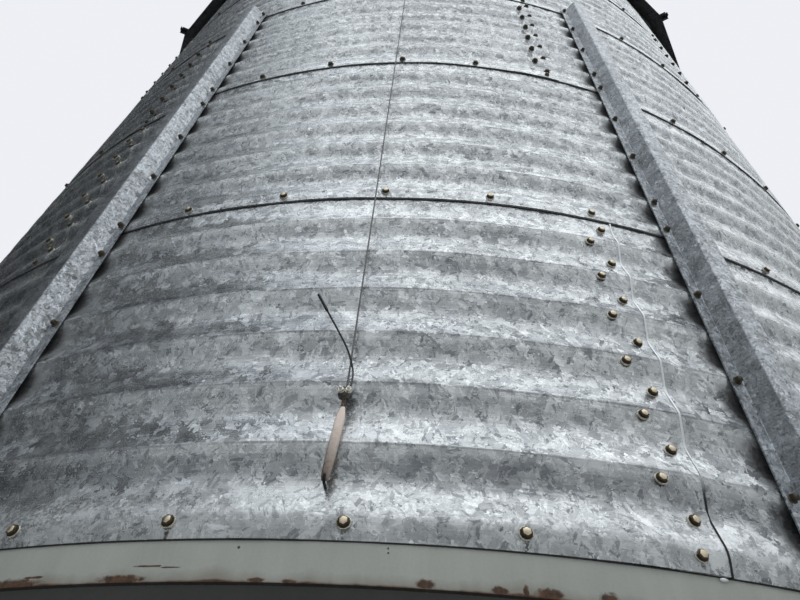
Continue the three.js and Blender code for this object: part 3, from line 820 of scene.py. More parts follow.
def both_sides(line, thickness):
    """The line moved half a thickness to each side, along the mean of the normals of the stretches
    at each point, lengthened so that the strip keeps its thickness at a fold."""
    step = unit(np.diff(line, axis=0))
    after = np.vstack([step, step[-1:]])
    mean = unit(np.vstack([step[:1], step]) + after)
    length = thickness / 2 / (mean * after).sum(1)
    normal = np.stack([mean[:, 1], -mean[:, 0]], -1) * length[:, None]
    return line + normal, line - normal


half_hat = [(HAT_CROWN, HAT_DEPTH), (HAT_FOOT, 0), (HAT_EDGE, 0)]
hat_corners = [(-x, y) for x, y in half_hat[::-1]] + half_hat
hat_line = rounded(hat_corners, [HAT_TOE, HAT_FOLD, HAT_FOLD, HAT_TOE]) + [0, HAT_SHEET / 2]
print("a hat's strip is", round(float(run_length(hat_line)[-1]), 3), "m wide")


# %% Stand the hats on the wall
def hat(number, angle):
    """A hat section: its line carried up the wall."""
    levels = np.linspace(hat_low, hat_high, HAT_LEVELS)
    grids = []
    for line in both_sides(hat_line * [1, HAT_DEPTH / (HAT_DEPTH + HAT_SHEET)], HAT_SHEET):
        across, out = line[:, :1], WALL_RADIUS + HAT_GAP + line[:, 1:]
        grids.append(at_angle(np.stack(np.broadcast_arrays(across, out, levels), -1), angle))
    shift = number * FLAKE_SHIFT
    part = slab(*grids, run_length(hat_line)[:, None] + shift, levels + shift)
    node = f"stiffener_{number}"
    new_piece(f"hat_{number}", [part], [section_zinc], [node], 25)


for number, angle in enumerate(hat_angles, 1):
    hat(number, angle)

# %% [markdown]
# ## Bolts
# Hundreds of bolts hold the sheets, each a zinc plated hexagon head on a steel washer with a rubber
# seal. One template of 70 faces is copied by array to every place, turned and tipped by chance.


# %% Make bolt finishes
def plated(name, tone, rough, worn):
    """Zinc plating, dulled in patches."""
    finish = Finish(name)
    patches = finish.noise(finish.object_place(), 0.006, 3)
    base = finish.tones(patches.between(0.38, 0.62), tone, worn, 1.0)
    return finish.set(Base_Color=base, Roughness=rough + patches * 0.2, Metallic=0.9)


def plain(name, tone, rough, metallic=0.0):
    """One finish with fine mottling, for small dark pieces."""
    finish = Finish(name)
    base = finish.tones(finish.noise(finish.object_place(), 0.004, 3), tone, 0.6, 1.4)
    return finish.set(Base_Color=base, Roughness=rough, Metallic=metallic)


# Lit and shaded copies of one plated metal: bright head tops and washer rims, near-black sides.
head_zinc = plated("head_zinc", (1.0, 0.85, 0.62), 0.24, 0.76)
# A dark copy, painted shade, for bolts seen from below far up the wall and on the flanges.
shaded_bolt_zinc = plated("shaded_bolt_zinc", (0.17, 0.155, 0.12), 0.40, 0.35)
side_shade_zinc = plain("side_shade_zinc", (0.075, 0.058, 0.036), 0.42, 0.6)
rim_zinc = plated("rim_zinc", (0.86, 0.82, 0.72), 0.30, 0.5)
print("bolt finishes:", head_zinc.name, side_shade_zinc.name, rim_zinc.name)

# %% Make the template
WASHER_RINGS = [(0.0101, -0.0021), (0.0104, 0.0006), (0.0093, 0.0013)]
HEAD_RINGS = [(0.0080, 0.0010), (0.0080, 0.0054), (0.0060, 0.0070), (0.0020, 0.0077)]
bolt_points, bolt_quads, _ = join([stack_rings(WASHER_RINGS, 10), stack_rings(HEAD_RINGS, 6)])
# Painted light and shade: the head's top and dome are bright, its sides and the washer's faces dark.
bolt_finish = np.repeat([1, 2, 2, 1, 1, 1, 1, 0, 0], [10] * 4 + [6] * 5)
print("a bolt has", len(bolt_quads), "faces")

# %% Copy the template
BOLT_LEAN = 0.03
SEAM_SEAT = 0.0006
WASHER_SEAT = 0.0016


def bolts(name, places, outs, size=1.0, tall=1.0, in_shade=False):
    """Copies of the bolt at places, with their axes along outs."""
    places, outs = np.reshape(places, (-1, 3)), np.reshape(outs, (-1, 3))
    count = len(places)
    spin = rng.uniform(0, np.pi, count)[:, None]
    out = unit(outs + rng.normal(0, BOLT_LEAN, (count, 3)))
    side = unit(np.cross(ANY_WAY, out))
    first = side * np.cos(spin) + np.cross(out, side) * np.sin(spin)
    axes = np.stack([first, np.cross(out, first), out], 1)
    points = np.einsum("pk,nkc->npc", bolt_points * [size, size, size * tall], axes) + places[:, None, :]
    quads = bolt_quads[None] + (np.arange(count) * len(bolt_points))[:, None, None]
    finishes = [shaded_bolt_zinc, side_shade_zinc, shaded_bolt_zinc] if in_shade else [head_zinc, side_shade_zinc, rim_zinc]
    new_piece(name, [unmapped(points, quads.reshape(-1, 4))], finishes, sharp=40,
              finish=np.tile(bolt_finish, count), mapped=False)


def wall_bolts(name, angle, radius, level, *look):
    """Bolts that point straight out from the wall."""
    bolts(name, around(angle, radius, level), around(angle, 1.0, 0.0 * level), *look)


def course_bolts(kind, course, column, height, out):
    """Bolts on a course, in painted shade from the third one up."""
    radius, level = wall_radius(column, height, course) + out, level_at(course, height)
    wall_bolts(f"{kind}_bolts_{course + 1}", column_angle(column), radius, level, 1.0, 1.0, course > 1)


for course in range(COURSES):
    column = np.arange(BOLT_COLUMNS, dtype=float)
    course_bolts("seam", course, column, BOLT_RISE - 0.0005 + 0 * column, SEAM_SEAT)

# %% Bolt the laps
LEFT_BOLTS = (-0.11, np.arange(1, 7) - 0.055)
RIGHT_BOLTS = (0.047, np.arange(0, 7) + 0.461)
LAP_SCATTER = 0.006


def lap_bolts(course):
    """Two rows of bolts up every lap: the left on the crests, the right in the troughs. They are
    placed in bolt columns from the lap and in pitches up the wall."""
    grids = [np.meshgrid(np.array(LAP_STARTS[course]) + aside, BOLT_RISE + WAVE_PITCH * pitches)
             for aside, pitches in (LEFT_BOLTS, RIGHT_BOLTS)]
    column, height = (np.concatenate([grid[axis].ravel() for grid in grids]) for axis in (0, 1))
    column = column + rng.normal(0, LAP_SCATTER, len(column))
    course_bolts("lap", course, column, height, SIDE_STEP + WASHER_SEAT)


for course in range(COURSES):
    lap_bolts(course)

# %% Bolt the stiffeners
FLANGE_BOLT = 0.052
RIGHT_CRESTS = [0, 2, 4, 6, 7, 9, 11, 13, 14, 16, 18, 20, 21]
LEFT_CRESTS = [0, 1, 3, 5, 7, 8, 10, 12, 14, 15, 17, 19, 21]


flange_turn = FLANGE_BOLT / WALL_RADIUS
angle = [np.repeat(hat_angles - flange_turn, len(LEFT_CRESTS)),
         np.repeat(hat_angles + flange_turn, len(RIGHT_CRESTS))]
crest = np.concatenate([np.tile(LEFT_CRESTS, HATS), np.tile(RIGHT_CRESTS, HATS)])
level = WALL_BASE + BOLT_RISE + WAVE_PITCH * crest
flange_face = WALL_RADIUS + HAT_SHEET + WASHER_SEAT
# The flange bolts take the dark copy, as painted shade.
wall_bolts("flange_bolts", np.concatenate(angle), flange_face, level, 0.80, 1.7, True)

# %% [markdown]
# ## The painted band and cone
# The wall stands on a rolled steel band with a cone welded under it, in old light grey-green paint. The
# cone's paint is made dark as painted shade, as it faces down. Water hangs at the band's lower edge, so
# rust starts there.

# %% Find the hopper
BAND_RADIUS = WALL_RADIUS - 0.0112
BAND_SHEET = 0.008
BAND_TOP = 0.045
OUTLET_RADIUS = 0.166
CONE_SHEET = 0.006
CONE_CORNER = BAND_RADIUS - 0.033
CONE_DROP = 0.0304
RING_STEPS = 216
band_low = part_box("hopper_ring")[0].z - 0.0022
band_edge = band_low + 0.0075
band_high = WALL_BASE + BAND_TOP
cone_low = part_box("hopper_cone")[0].z
print("band from", round(band_low, 3), "to", round(band_high, 3))


# %% Turn profiles around the axis
def turned(name, profile, paint, node):
    """A piece from a closed profile of [radius, height] carried around the axis, with the distance
    around the wall and the height as its flat map. The map has an edge at the back, where the points
    that meet are then joined."""
    radius, height = np.transpose(profile)
    angle = np.linspace(-np.pi, np.pi, RING_STEPS + 1)[:, None]
    points = around(angle, radius, height).reshape(-1, 3)
    quads = grid_quads(RING_STEPS + 1, len(profile))
    part = points, quads, flat_pairs(angle * WALL_RADIUS, height)
    piece = new_piece(name, [part], [paint], [node])
    work = bmesh.new()
    work.from_mesh(piece.data)
    bmesh.ops.remove_doubles(work, verts=work.verts, dist=1e-6)
    work.to_mesh(piece.data)
    work.free()


print("turned in", RING_STEPS, "steps")

# %% Make old paint
RUST_PATCHES = [
    (-14.6, 0.003, 0.050, 0.009), (-13.9, 0.012, 0.018, 0.002), (-10.2, 0.004, 0.038, 0.007),
    (-9.3, 0.021, 0.022, 0.0016), (-8.5, 0.019, 0.014, 0.0012), (-6.1, 0.045, 0.0022, 0.0022),
    (-5.2, 0.003, 0.012, 0.004), (-4.0, 0.002, 0.012, 0.004), (-0.65, 0.049, 0.0016, 0.0018),
    (-0.64, 0.043, 0.0014, 0.0014), (0.7, 0.006, 0.014, 0.007), (3.3, 0.004, 0.012, 0.007),
    (4.2, 0.007, 0.004, 0.010), (5.0, 0.005, 0.020, 0.009), (7.2, 0.006, 0.016, 0.010),
    (-36, 0.004, 0.060, 0.012), (41, 0.006, 0.050, 0.014), (96, 0.005, 0.070, 0.012),
    (150, 0.006, 0.040, 0.014), (-112, 0.004, 0.080, 0.012), (-160, 0.006, 0.050, 0.016),
]
DARK_RUST = (0.030, 0.015, 0.010)
BROWN_RUST = (0.17, 0.075, 0.034)


def old_paint(name, rusty_edge, old_tone, new_tone):
    """Paint with clouds of dust, runs of dirt and rust. On a rusty edge, rust follows a thin line
    that comes and goes, and patches of [degrees from the front, height above the band's lower edge,
    half the width, half the height]."""
    finish = Finish(name)
    place = finish.flat_map() if rusty_edge else finish.object_place()
    clouds = finish.noise(place, 0.25, 4)
    runs = finish.noise(place, 0.03, 3, stretch=(1.0, 0.08, 1.0))
    grit = finish.noise(place, 0.004, 2)
    shade = clouds * 0.5 + runs * 0.3 + grit * 0.2
    base = finish.blend(shade.between(0.3, 0.7), old_tone, new_tone)
    ragged = finish.noise(place, 0.012, 5, 0.7)
    rusty = finish.blend(ragged.between(0.35, 0.65), DARK_RUST, BROWN_RUST)
    if rusty_edge:
        above = finish.split(place, 1) - band_edge
        reach = finish.noise(place, 0.10, 4, stretch=(1.0, 0.0, 0.0)).between(0.42, 0.75)
        rust = (above - reach * 0.005).until(-0.0010, 0.0020)
        stain = (above - reach * 0.016 - (ragged - 0.5) * 0.012).until(-0.002, 0.012) * 0.45
        base = finish.blend(stain, base, (0.20, 0.125, 0.070))
        for degrees, level, *half_size in RUST_PATCHES:
            centre = (radians(degrees) * WALL_RADIUS, band_edge + level)
            rust = rust.larger(finish.spot(place, centre, half_size, ragged))
        base = finish.blend(rust * 0.92, base, rusty)
        # Painted shade: the band's underside at its lower edge is near-black, where it meets the cone.
        base = finish.blend(above.until(0.0002, 0.0008) * 0.9, base, (0.020, 0.018, 0.016))
    else:
        rust = ragged.between(0.60, 0.68) * clouds.between(0.55, 0.70)
        base = finish.blend(rust * 0.92, base, rusty)
    normal = finish.bump(ragged * rust + grit * 0.2, 0.0005)
    return finish.set(Base_Color=base, Roughness=0.46 + rust * 0.4 + grit * 0.08, Normal=normal)


band_paint = old_paint("band_paint", True, (0.42, 0.435, 0.395), (0.56, 0.58, 0.53))
# Painted shade: the cone has the band's paint, made dark as it faces down.
shaded_cone_paint = old_paint("shaded_cone_paint", False, (0.050, 0.056, 0.049), (0.078, 0.086, 0.076))
leg_paint = old_paint("leg_paint", False, (0.22, 0.24, 0.215), (0.31, 0.33, 0.30))
print("paints:", band_paint.name, shaded_cone_paint.name, leg_paint.name)

# %% Roll the band and the cone
band_inside = BAND_RADIUS - BAND_SHEET
band_profile = [
    (band_inside, band_high), (band_inside, band_edge),
    (BAND_RADIUS - 0.0015, band_edge), (BAND_RADIUS - 0.0004, band_edge + 0.0004),
    (BAND_RADIUS, band_edge + 0.0015), (BAND_RADIUS, band_high),
]
turned("band", band_profile, band_paint, "hopper_ring")

cone_out = CONE_SHEET / sin(radians(45))
cone_profile = [
    (band_inside - 0.0002, band_edge), (CONE_CORNER, band_low - CONE_DROP),
    (OUTLET_RADIUS, cone_low), (OUTLET_RADIUS - cone_out, cone_low),
    (CONE_CORNER - cone_out, band_low - CONE_DROP), (band_inside - 0.0060, band_edge),
]
turned("cone", cone_profile, shaded_cone_paint, "hopper_cone")

# %% [markdown]
# ## Legs and outlet
# Nine square posts stand under the stiffeners, each with a foot plate on anchor studs and a gusset
# that carries the cone. The outlet is bolted all around.

# %% Name the leg's sizes
LEG_SIZE = 0.100
LEG_WALL = 0.006
CAP_THICKNESS = 0.005
FOOT_SIZE = 0.200
FOOT_THICKNESS = 0.012
ANCHOR_SPREAD = 0.075
WELD_RADIUS = 0.0035
WELD_RIPPLE = 0.18
WELD_STEP = 0.008
LEG_CORNER = 0.012
GUSSET_THICKNESS = 0.010
GUSSET_REACH = 0.125
leg_face = WALL_RADIUS - 0.018
leg_centre = leg_face + LEG_SIZE / 2
leg_top = WALL_BASE - 0.0003
gusset_top = band_low - 0.0015
print("leg face at", round(leg_face, 4), "m from the axis")


# %% Build a leg
def bead(start, end):
    """A weld bead: a tube whose radius swells at every other ring."""
    start, end = np.array(start, float), np.array(end, float)
    steps = max(6, round(np.linalg.norm(end - start) / WELD_STEP))
    line = start + (end - start) * np.linspace(0, 1, steps)[:, None]
    return tube(line, WELD_RADIUS * (1 + WELD_RIPPLE * np.cos(np.pi * np.arange(steps))), 6)


def square(size, radius):
    return rounded_box(size, size, radius)


def leg_parts():
    """A hollow post, cap, foot plate, gusset and welds, and then its anchors: each a washer, a nut
    and the end of a stud. Drawn at the front as [across, out, up]."""
    outer, inner = square(LEG_SIZE, LEG_CORNER), square(LEG_SIZE - 2 * LEG_WALL, LEG_WALL)
    low, high = FOOT_THICKNESS, leg_top - CAP_THICKNESS
    solids = [
        loft([(outer, low), (outer, high), (inner, high), (inner, low)], wrap_rows=True),
        plate(square(LEG_SIZE - 0.002, LEG_CORNER), high, leg_top),
        plate(square(FOOT_SIZE, 0.010), 0, low, 0.002),
    ]
    painted = [placed(part, [0, leg_centre, 0]) for part in solids]
    half = GUSSET_THICKNESS / 2
    gusset = plate([(-GUSSET_REACH, -GUSSET_REACH), (0.004, -2 * GUSSET_REACH), (0.004, 0)], -half, half)
    painted.append(placed(gusset, [0, leg_face, gusset_top], (2, 0, 1)))
    for side in (-1, 1):
        edge, reach = side * half, side * LEG_SIZE / 2
        near, far = leg_centre - reach, leg_centre + reach
        painted += [
            bead([edge, leg_face - GUSSET_REACH + 0.004, gusset_top - GUSSET_REACH],
                 [edge, leg_face - 0.012, gusset_top - 0.012]),
            bead([edge, leg_face, gusset_top - 2 * GUSSET_REACH + 0.01], [edge, leg_face, gusset_top]),
            bead([reach, near, low], [reach, far, low]),
            bead([reach, near, low], [-reach, near, low]),
        ]
    anchor = [
        stack_rings([(0.017, 0), (0.017, 0.0025)], 12),
        stack_rings([(0.0135, 0.0117, 0.0025), (0.0135, 0.0117, 0.014), (0.0115, 0.0115, 0.0150)], 12),
        stack_rings([(0.0076, 0.012), (0.0076, 0.030), (0.0062, 0.0315)], 12),
    ]
    spread = (-ANCHOR_SPREAD, ANCHOR_SPREAD)
    studs = [placed(part, [x, leg_centre + y, low]) for x in spread for y in spread for part in anchor]
    return numbered(painted, studs)


anchor_zinc = plated("anchor_zinc", (0.50, 0.47, 0.40), 0.45, 0.4)
parts, finish = leg_parts()
for number, angle in enumerate(hat_angles, 1):
    turned_parts = [(at_angle(points, angle), quads, flat) for points, quads, flat in parts]
    new_piece(f"post_{number}", turned_parts, [leg_paint, anchor_zinc], [f"leg_{number}"],
              35, finish, mapped=False)

# %% Bolt the outlet
flange_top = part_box("outlet_collar")[0].z + 0.010
slide_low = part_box("outlet_slide")[0].z
spread = np.array([-0.180, -0.090, 0.0, 0.090, 0.180])
edge_places = [(x, y) for x in spread for y in spread if max(abs(x), abs(y)) > 0.17]
above = [(x, y, flange_top) for x, y in edge_places]
below = [(x, y, slide_low) for x, y in edge_places if y > -0.17 or abs(x) > 0.17]
bolts("outlet_bolts", above + below, [(0, 0, 1)] * len(above) + [(0, 0, -1)] * len(below), 1.1)

# %% [markdown]
# ## The roof
# Eighteen flat panels lean together at thirty degrees, with an inverted channel over every joint that
# shows its open end past the eave. A panel's section is drawn from the mouth to the eave and folded
# down there as a drip edge. Its underside is painted nearly black, as shade against the sky.

# %% Name the roof's sizes
PANELS = 18
PANEL_HALF = pi / PANELS
RIB_TURN = radians(6.2)
EAVE_RADIUS = 2.146
EAVE_HEIGHT = WALL_BASE + 4.097
ROOF_SLOPE = radians(30)
PANEL_RISE = 0.004 / cos(ROOF_SLOPE)
MOUTH_RADIUS = 0.330
COLLAR_REACH = 0.070
RIB_OVERHANG = 0.030
RIB_WIDTH = 0.030
RIB_SHEET = 0.0015
RIB_SECTION = [(-0.027, 0.0), (-0.013, 0.0), (-0.011, 0.024), (0.011, 0.024), (0.013, 0.0), (0.027, 0.0)]
PANEL_COLUMNS = 7
RIB_STEPS = 8
MOUTH_GAP = 0.006
PANEL_GAP = 0.0004
DRIP_EDGE = 0.004
DRIP_FOLD = 0.0025
RIB_FOLD = 0.003
eave_distance = EAVE_RADIUS * cos(PANEL_HALF)


def roof_top(distance):
    """Height of the panels' upper face at a distance from the axis, square to the eave."""
    return EAVE_HEIGHT + (eave_distance - distance) * tan(ROOF_SLOPE) + PANEL_RISE


def panel_angle(number):
    return RIB_TURN + (2 * number + 1) * PANEL_HALF


print("panels at the eave:", round(roof_top(eave_distance), 4), "m up")

# %% Lay the panels
shaded_zinc = zinc_sheet("shaded_zinc", "flat", 0.012, (0.085, 0.088, 0.09), 0.55)
roof_zinc = zinc_sheet("roof_zinc", "flat", 0.013, (0.50, 0.52, 0.55), 0.38)


def shifted_slab(grids, first, second):
    """A slab whose flakes are shifted by chance."""
    points, quads, flat = slab(*grids, first, second)
    return points, quads, flat + rng.uniform(0, 30, 2)


def roof_piece(name, parts, columns, nodes=()):
    """Slabs with equal grids as one piece: painted shade on the first side and rim, lit on the second."""
    points, quads, _ = parts[0]
    faces = (len(points) // 2 // columns - 1) * (columns - 1)
    finish = np.tile(np.repeat([1, 0, 1], [faces, faces, len(quads) - 2 * faces]), len(parts))
    new_piece(name, parts, [roof_zinc, shaded_zinc], nodes, 25, finish)


def roof_panel(number):
    """One flat panel, as wide as its sector is at each distance."""
    out = eave_distance - RIB_SHEET / 2
    top = roof_top(out) - RIB_SHEET / 2 / cos(ROOF_SLOPE)
    mouth = MOUTH_RADIUS + MOUTH_GAP
    high = top + (out - mouth) * tan(ROOF_SLOPE)
    line = rounded([(mouth, high), (out, top), (out, EAVE_HEIGHT - DRIP_EDGE)], DRIP_FOLD, 4)
    start, fold = line[:1], line[1:]
    line = np.vstack([start + (fold[0] - start) * np.linspace(0, 1, 12)[:-1, None], fold])
    share = np.linspace(-1, 1, PANEL_COLUMNS)
    grids = []
    for side in both_sides(line, RIB_SHEET):
        distance, height = side[:, :1], side[:, 1:]
        across = share * (distance * tan(PANEL_HALF) - PANEL_GAP)
        grid = np.stack(np.broadcast_arrays(across, distance, height), -1)
        grids.append(at_angle(grid, panel_angle(number)))
    return shifted_slab(grids, run_length(line)[:, None], across)


for sector in range(6):
    panels = [roof_panel(3 * sector + number) for number in range(3)]
    roof_piece(f"roof_sheets_{sector + 1}", panels, PANEL_COLUMNS, [f"roof_panels_{sector + 1}"])


# %% Lay the ribs
def joint(radius):
    """A place on the joint at the first edge of a panel."""
    distance = radius * cos(PANEL_HALF)
    return np.array([-radius * sin(PANEL_HALF), distance, roof_top(distance)])


def roof_rib(number):
    """An open channel over a joint: along runs up it, lift stands square to the panel, and side is
    square to both."""
    low = joint(EAVE_RADIUS + RIB_OVERHANG)
    high = joint((MOUTH_RADIUS + COLLAR_REACH) / cos(PANEL_HALF) + MOUTH_GAP)
    along = unit(high - low)
    lift = np.array([0, sin(ROOF_SLOPE), cos(ROOF_SLOPE)])
    side = np.cross(along, lift)
    side *= np.sign(side[0])
    section = rounded(RIB_SECTION, RIB_FOLD, 4)
    run = np.linspace(0, 1, RIB_STEPS)
    grids = []
    for line in both_sides(section, RIB_SHEET):
        offset = (line[:, :1] + RIB_WIDTH / 2 + 0.0003) * side + (line[:, 1:] + RIB_SHEET / 2 + 0.0001) * lift
        grid = offset[:, None, :] + low + (high - low) * run[None, :, None]
        grids.append(at_angle(grid, panel_angle(number)))
    return shifted_slab(grids, run * np.linalg.norm(high - low), run_length(section)[:, None])


roof_piece("roof_ribs", [roof_rib(number) for number in range(PANELS)], RIB_STEPS)


# %% Finish the kept nodes
def keep(node, material, edge):
    """A CAD node that keeps its mesh, with a finish, joined corners and broken edges."""
    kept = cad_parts[node]
    kept.data.materials.clear()
    kept.data.materials.append(material)
    kept.modifiers.new("corners", "WELD").merge_threshold = 1e-5
    bevel = kept.modifiers.new("edges", "BEVEL")
    bevel.width = edge
    bevel.segments = 2
    bevel.limit_method = "ANGLE"
    bevel.angle_limit = radians(30)
    print("kept:", node)


shaded_cast = zinc_sheet("shaded_cast", None, 0.012, (0.09, 0.093, 0.095), 0.55)
keep("leg_tie_ring", leg_paint, 0.0015)
keep("outlet_collar", leg_paint, 0.0015)
keep("outlet_slide", leg_paint, 0.0015)
keep("eave_ring", shaded_cast, 0.0008)
keep("roof_collar", cast_zinc, 0.0010)
keep("fill_lid", cast_zinc, 0.0020)
keep("lid_lever", cast_zinc, 0.0010)
keep("eave_guide", cast_zinc, 0.0008)

# %% [markdown]
# ## The pull wire
# The lid's pull wire comes down the wall, is held in a rope clip, and ends in an eye that a rubber
# strap pulls down to a hook. Its free end stands off to the left, with a black sleeve on its tip.
# Its strands run in a helix, so the bump is a zigzag of the turn's share plus the distance over the
# lay.

# %% Name the wire's sizes
CLIP_TURN = radians(-2.93)
CABLE_TURN = radians(-2.5)
WIRE_RADIUS = 0.0016
STRAND_LAY = 0.016
STRANDS = 6
GUIDE_RADIUS = 0.022
WIRE_GAP = 0.0003
clip_low = WALL_BASE + 0.224
clip_top = WALL_BASE + 0.248
rope_distance = WALL_RADIUS + 0.010
print("clip from", round(clip_low, 3), "to", round(clip_top, 3))


# %% Make wire, strap and sleeve finishes
def wire_rope(name, tone, coated=None):
    """Twisted strands, in a black plastic skin beyond the distance coated."""
    finish = Finish(name)
    place = finish.flat_map()
    run = finish.split(place, 1)
    strand = (finish.split(place, 0) * STRANDS + run * (STRANDS / STRAND_LAY)).maths("PINGPONG", 0.5) * 2
    grime = finish.noise(finish.object_place(), 0.012, 3)
    # The colour follows the strands too: painted shade in the grooves between them.
    shade = strand * 0.6 + grime * 0.5
    base = finish.tones(shade.between(0.1, 0.9), tone, 0.35, 1.0)
    metallic = 0.7
    if coated:
        skin = run.between(*coated)
        base = finish.blend(skin, base, (0.009, 0.009, 0.010))
        metallic = 0.7 - skin * 0.7
    normal = finish.bump(strand, 0.0005)
    return finish.set(Base_Color=base, Roughness=0.42 + grime * 0.2, Metallic=metallic, Normal=normal)


def strap_rubber():
    """Tan rubber, darker at its edges as painted shade, grimy in specks and towards its lower end, most at
    the left there. Where it is clean it is made partly metallic, a painted sheen that mirrors the sky."""
    finish = Finish("strap_rubber")
    place = finish.flat_map()
    across, run = finish.split(place, 0), finish.split(place, 1)
    mottle = finish.noise(place, 0.006, 4)
    drawn = finish.noise(place, 0.006, 3, stretch=(4.0, 0.5, 1.0))
    # Painted shade: the strap is darker towards both edges.
    edge = across.maths("ABSOLUTE").between(0.0045, 0.0078)
    low = (run + (mottle - 0.5) * 0.02).between(0.030, 0.114)
    # grime holds the painted shade at the edges as well as real grime low down and in specks.
    grime = edge * 0.20 + low * (0.90 - across * 30) + mottle.between(0.5, 0.8) * 0.12
    pale = finish.blend(drawn, (1.0, 0.80, 0.69), (1.0, 0.92, 0.84))
    base = finish.blend(grime.between(0.0, 1.0), pale, (0.12, 0.080, 0.058))
    normal = finish.bump(drawn * 0.5 + mottle * 0.5, 0.0004)
    # Painted sheen: clean rubber is made metallic, so it mirrors the sky.
    metal_sheen = (1 - grime).between(0.2, 1.0) * 0.9
    return finish.set(Base_Color=base, Roughness=0.36 + mottle * 0.2, Metallic=metal_sheen, Normal=normal)


taut_wire = wire_rope("taut_wire", (0.34, 0.335, 0.33))
tail_wire = wire_rope("tail_wire", (0.26, 0.26, 0.265), (0.022, 0.042))
rusty_wire = wire_rope("rusty_wire", (0.30, 0.18, 0.10))
black_plastic = plain("black_plastic", (0.009, 0.009, 0.010), 0.40)
black_iron = plain("black_iron", (0.020, 0.018, 0.017), 0.5, 0.5)
clip_zinc = plated("clip_zinc", (1.0, 0.97, 0.88), 0.22, 0.60)
# A shaded copy of the clip's plating: painted shade for its saddle, bosses and rods.
clip_zinc_shaded = plated("clip_zinc_shaded", (0.17, 0.17, 0.155), 0.38, 0.35)
tan_rubber = strap_rubber()
print("finishes:", taut_wire.name, tail_wire.name, tan_rubber.name, clip_zinc.name)

# %% Run the wire
NOSE_RADIUS = GUIDE_RADIUS + WIRE_GAP + WIRE_RADIUS
nose_out = eave_distance - 0.014
nose_up = roof_top(nose_out) + 0.008
nose_turns = np.radians(np.linspace(0, 60, 13))
nose = np.stack([0 * nose_turns, nose_out + NOSE_RADIUS * np.cos(nose_turns),
                 nose_up + NOSE_RADIUS * np.sin(nose_turns)], -1)
clip_shift = CLIP_TURN - CABLE_TURN
wire_low = np.array([rope_distance * sin(clip_shift) + 0.0018, rope_distance * cos(clip_shift),
                     clip_top])
wire_end = 0.480 + WIRE_RADIUS * sin(ROOF_SLOPE) + WIRE_GAP
wire_high = np.array([0, wire_end, nose[-1, 2] + (nose[-1, 1] - wire_end) * tan(ROOF_SLOPE)])
wall_run = wire_low + (nose[0] - wire_low) * np.linspace(0, 1, 40)[:-1, None]
roof_run = nose[-1] + (wire_high - nose[-1]) * np.linspace(0, 1, 20)[1:, None]
wire = tube(at_angle(np.vstack([wall_run, nose, roof_run]), CABLE_TURN), WIRE_RADIUS)
new_piece("pull_wire", [wire], [taut_wire], ["lid_cable"], 60)

# %% Bend the free end
TAIL_ROUTE = [
    (0.007, 0.011, 0.0013), (0.0085, 0.012, 0.009), (0.0083, 0.0135, 0.027), (0.0032, 0.016, 0.048),
    (-0.0056, 0.019, 0.073), (-0.0218, 0.023, 0.105), (-0.0485, 0.029, 0.154),
]
SLEEVE_LENGTH = 0.044
tail_line = at_angle(np.array(TAIL_ROUTE) + [0, WALL_RADIUS, clip_top], CLIP_TURN)
tail_path = curve_through(tail_line, 5)
tail = new_piece("wire_tail", [tube(tail_path, WIRE_RADIUS)], [tail_wire], ["cable_tail"], 60)

sleeve_run = np.array([0.0003, 0.0006, 0.0016, 0.010, 0.034, 0.0418, 0.0430, SLEEVE_LENGTH - 0.0003])
sleeve_size = [0.0020, 0.0025, 0.0026, 0.0026, 0.0026, 0.0026, 0.0024, 0.0016]
sleeve_line = tail_line[-1] + sleeve_run[:, None] * unit(tail_line[-1] - tail_line[-2])
sleeve = new_piece("wire_sleeve", [tube(sleeve_line, sleeve_size, 14)], [black_plastic],
                   ["tail_sleeve"], 50, mapped=False)

# %% Clamp the wire
CLIP_MIDDLE = 0.012
ROD_SIDE = 0.0062
ROD_RADIUS = 0.0023
BOSS_SIDE = 0.0056
EYE_RADIUS = 0.0011
EYE_STEPS = 24


def facing(part, side, out):
    """A clip's part turned to look away from the wall."""
    return placed(part, (side, out, CLIP_MIDDLE), (0, 2, 1), [-1, 1, 1])


def clip_parts():
    """A rope clip as [across, out from the crests, up]. A nut, washer and stud on each side are bright.
    The saddle, its two bosses and the rods are dark, a copy of the plating in painted shade. The
    third group is the eye of the wire below the clip, as a closed loop."""
    nut = stack_rings([(0.0054, 0.0047, 0), (0.0054, 0.0047, 0.0038), (0.0044, 0.0044, 0.0044)], 12)
    stud = stack_rings([(0.0023, 0), (0.0023, 0.0082), (0.0017, 0.0088)], 12)
    washer = stack_rings([(0.0058, 0), (0.0058, 0.0009)], 12)
    hardware = [(nut, 0.0157), (washer, 0.0147), (stud, 0.0158)]
    bright = [facing(part, side, out) for side in (-ROD_SIDE, ROD_SIDE) for part, out in hardware]
    boss = plate(rounded_box(0.0105, 0.0125, 0.0045, 5), 0.0135, 0.0153, 0.001)
    dark = [facing(plate(rounded_box(0.0215, 0.0235, 0.0075, 6), 0.0020, 0.0140, 0.0035), 0, 0)]
    dark += [facing(boss, side, 0) for side in (-BOSS_SIDE, BOSS_SIDE)]
    dark += [tube([(side, 0.0030, CLIP_MIDDLE), (side, 0.0155, CLIP_MIDDLE)], ROD_RADIUS)
             for side in (-ROD_SIDE, ROD_SIDE)]
    turns = np.arange(EYE_STEPS) * 2 * np.pi / EYE_STEPS
    across = 0.0023 * np.sign(np.cos(turns)) * np.abs(np.cos(turns)) ** 0.7
    line = np.stack([across, 0.010 + 0 * turns, -0.0085 + 0.0125 * np.sin(turns)], -1)
    return numbered(bright, dark, [tube(line, EYE_RADIUS, 8, closed=True)])


parts, finish = clip_parts()
parts = [(at_angle(points + [0, WALL_RADIUS, clip_low], CLIP_TURN), quads, flat)
         for points, quads, flat in parts]
new_piece("rope_clip", parts, [clip_zinc, clip_zinc_shaded, rusty_wire], ["cable_clip"], 35, finish)

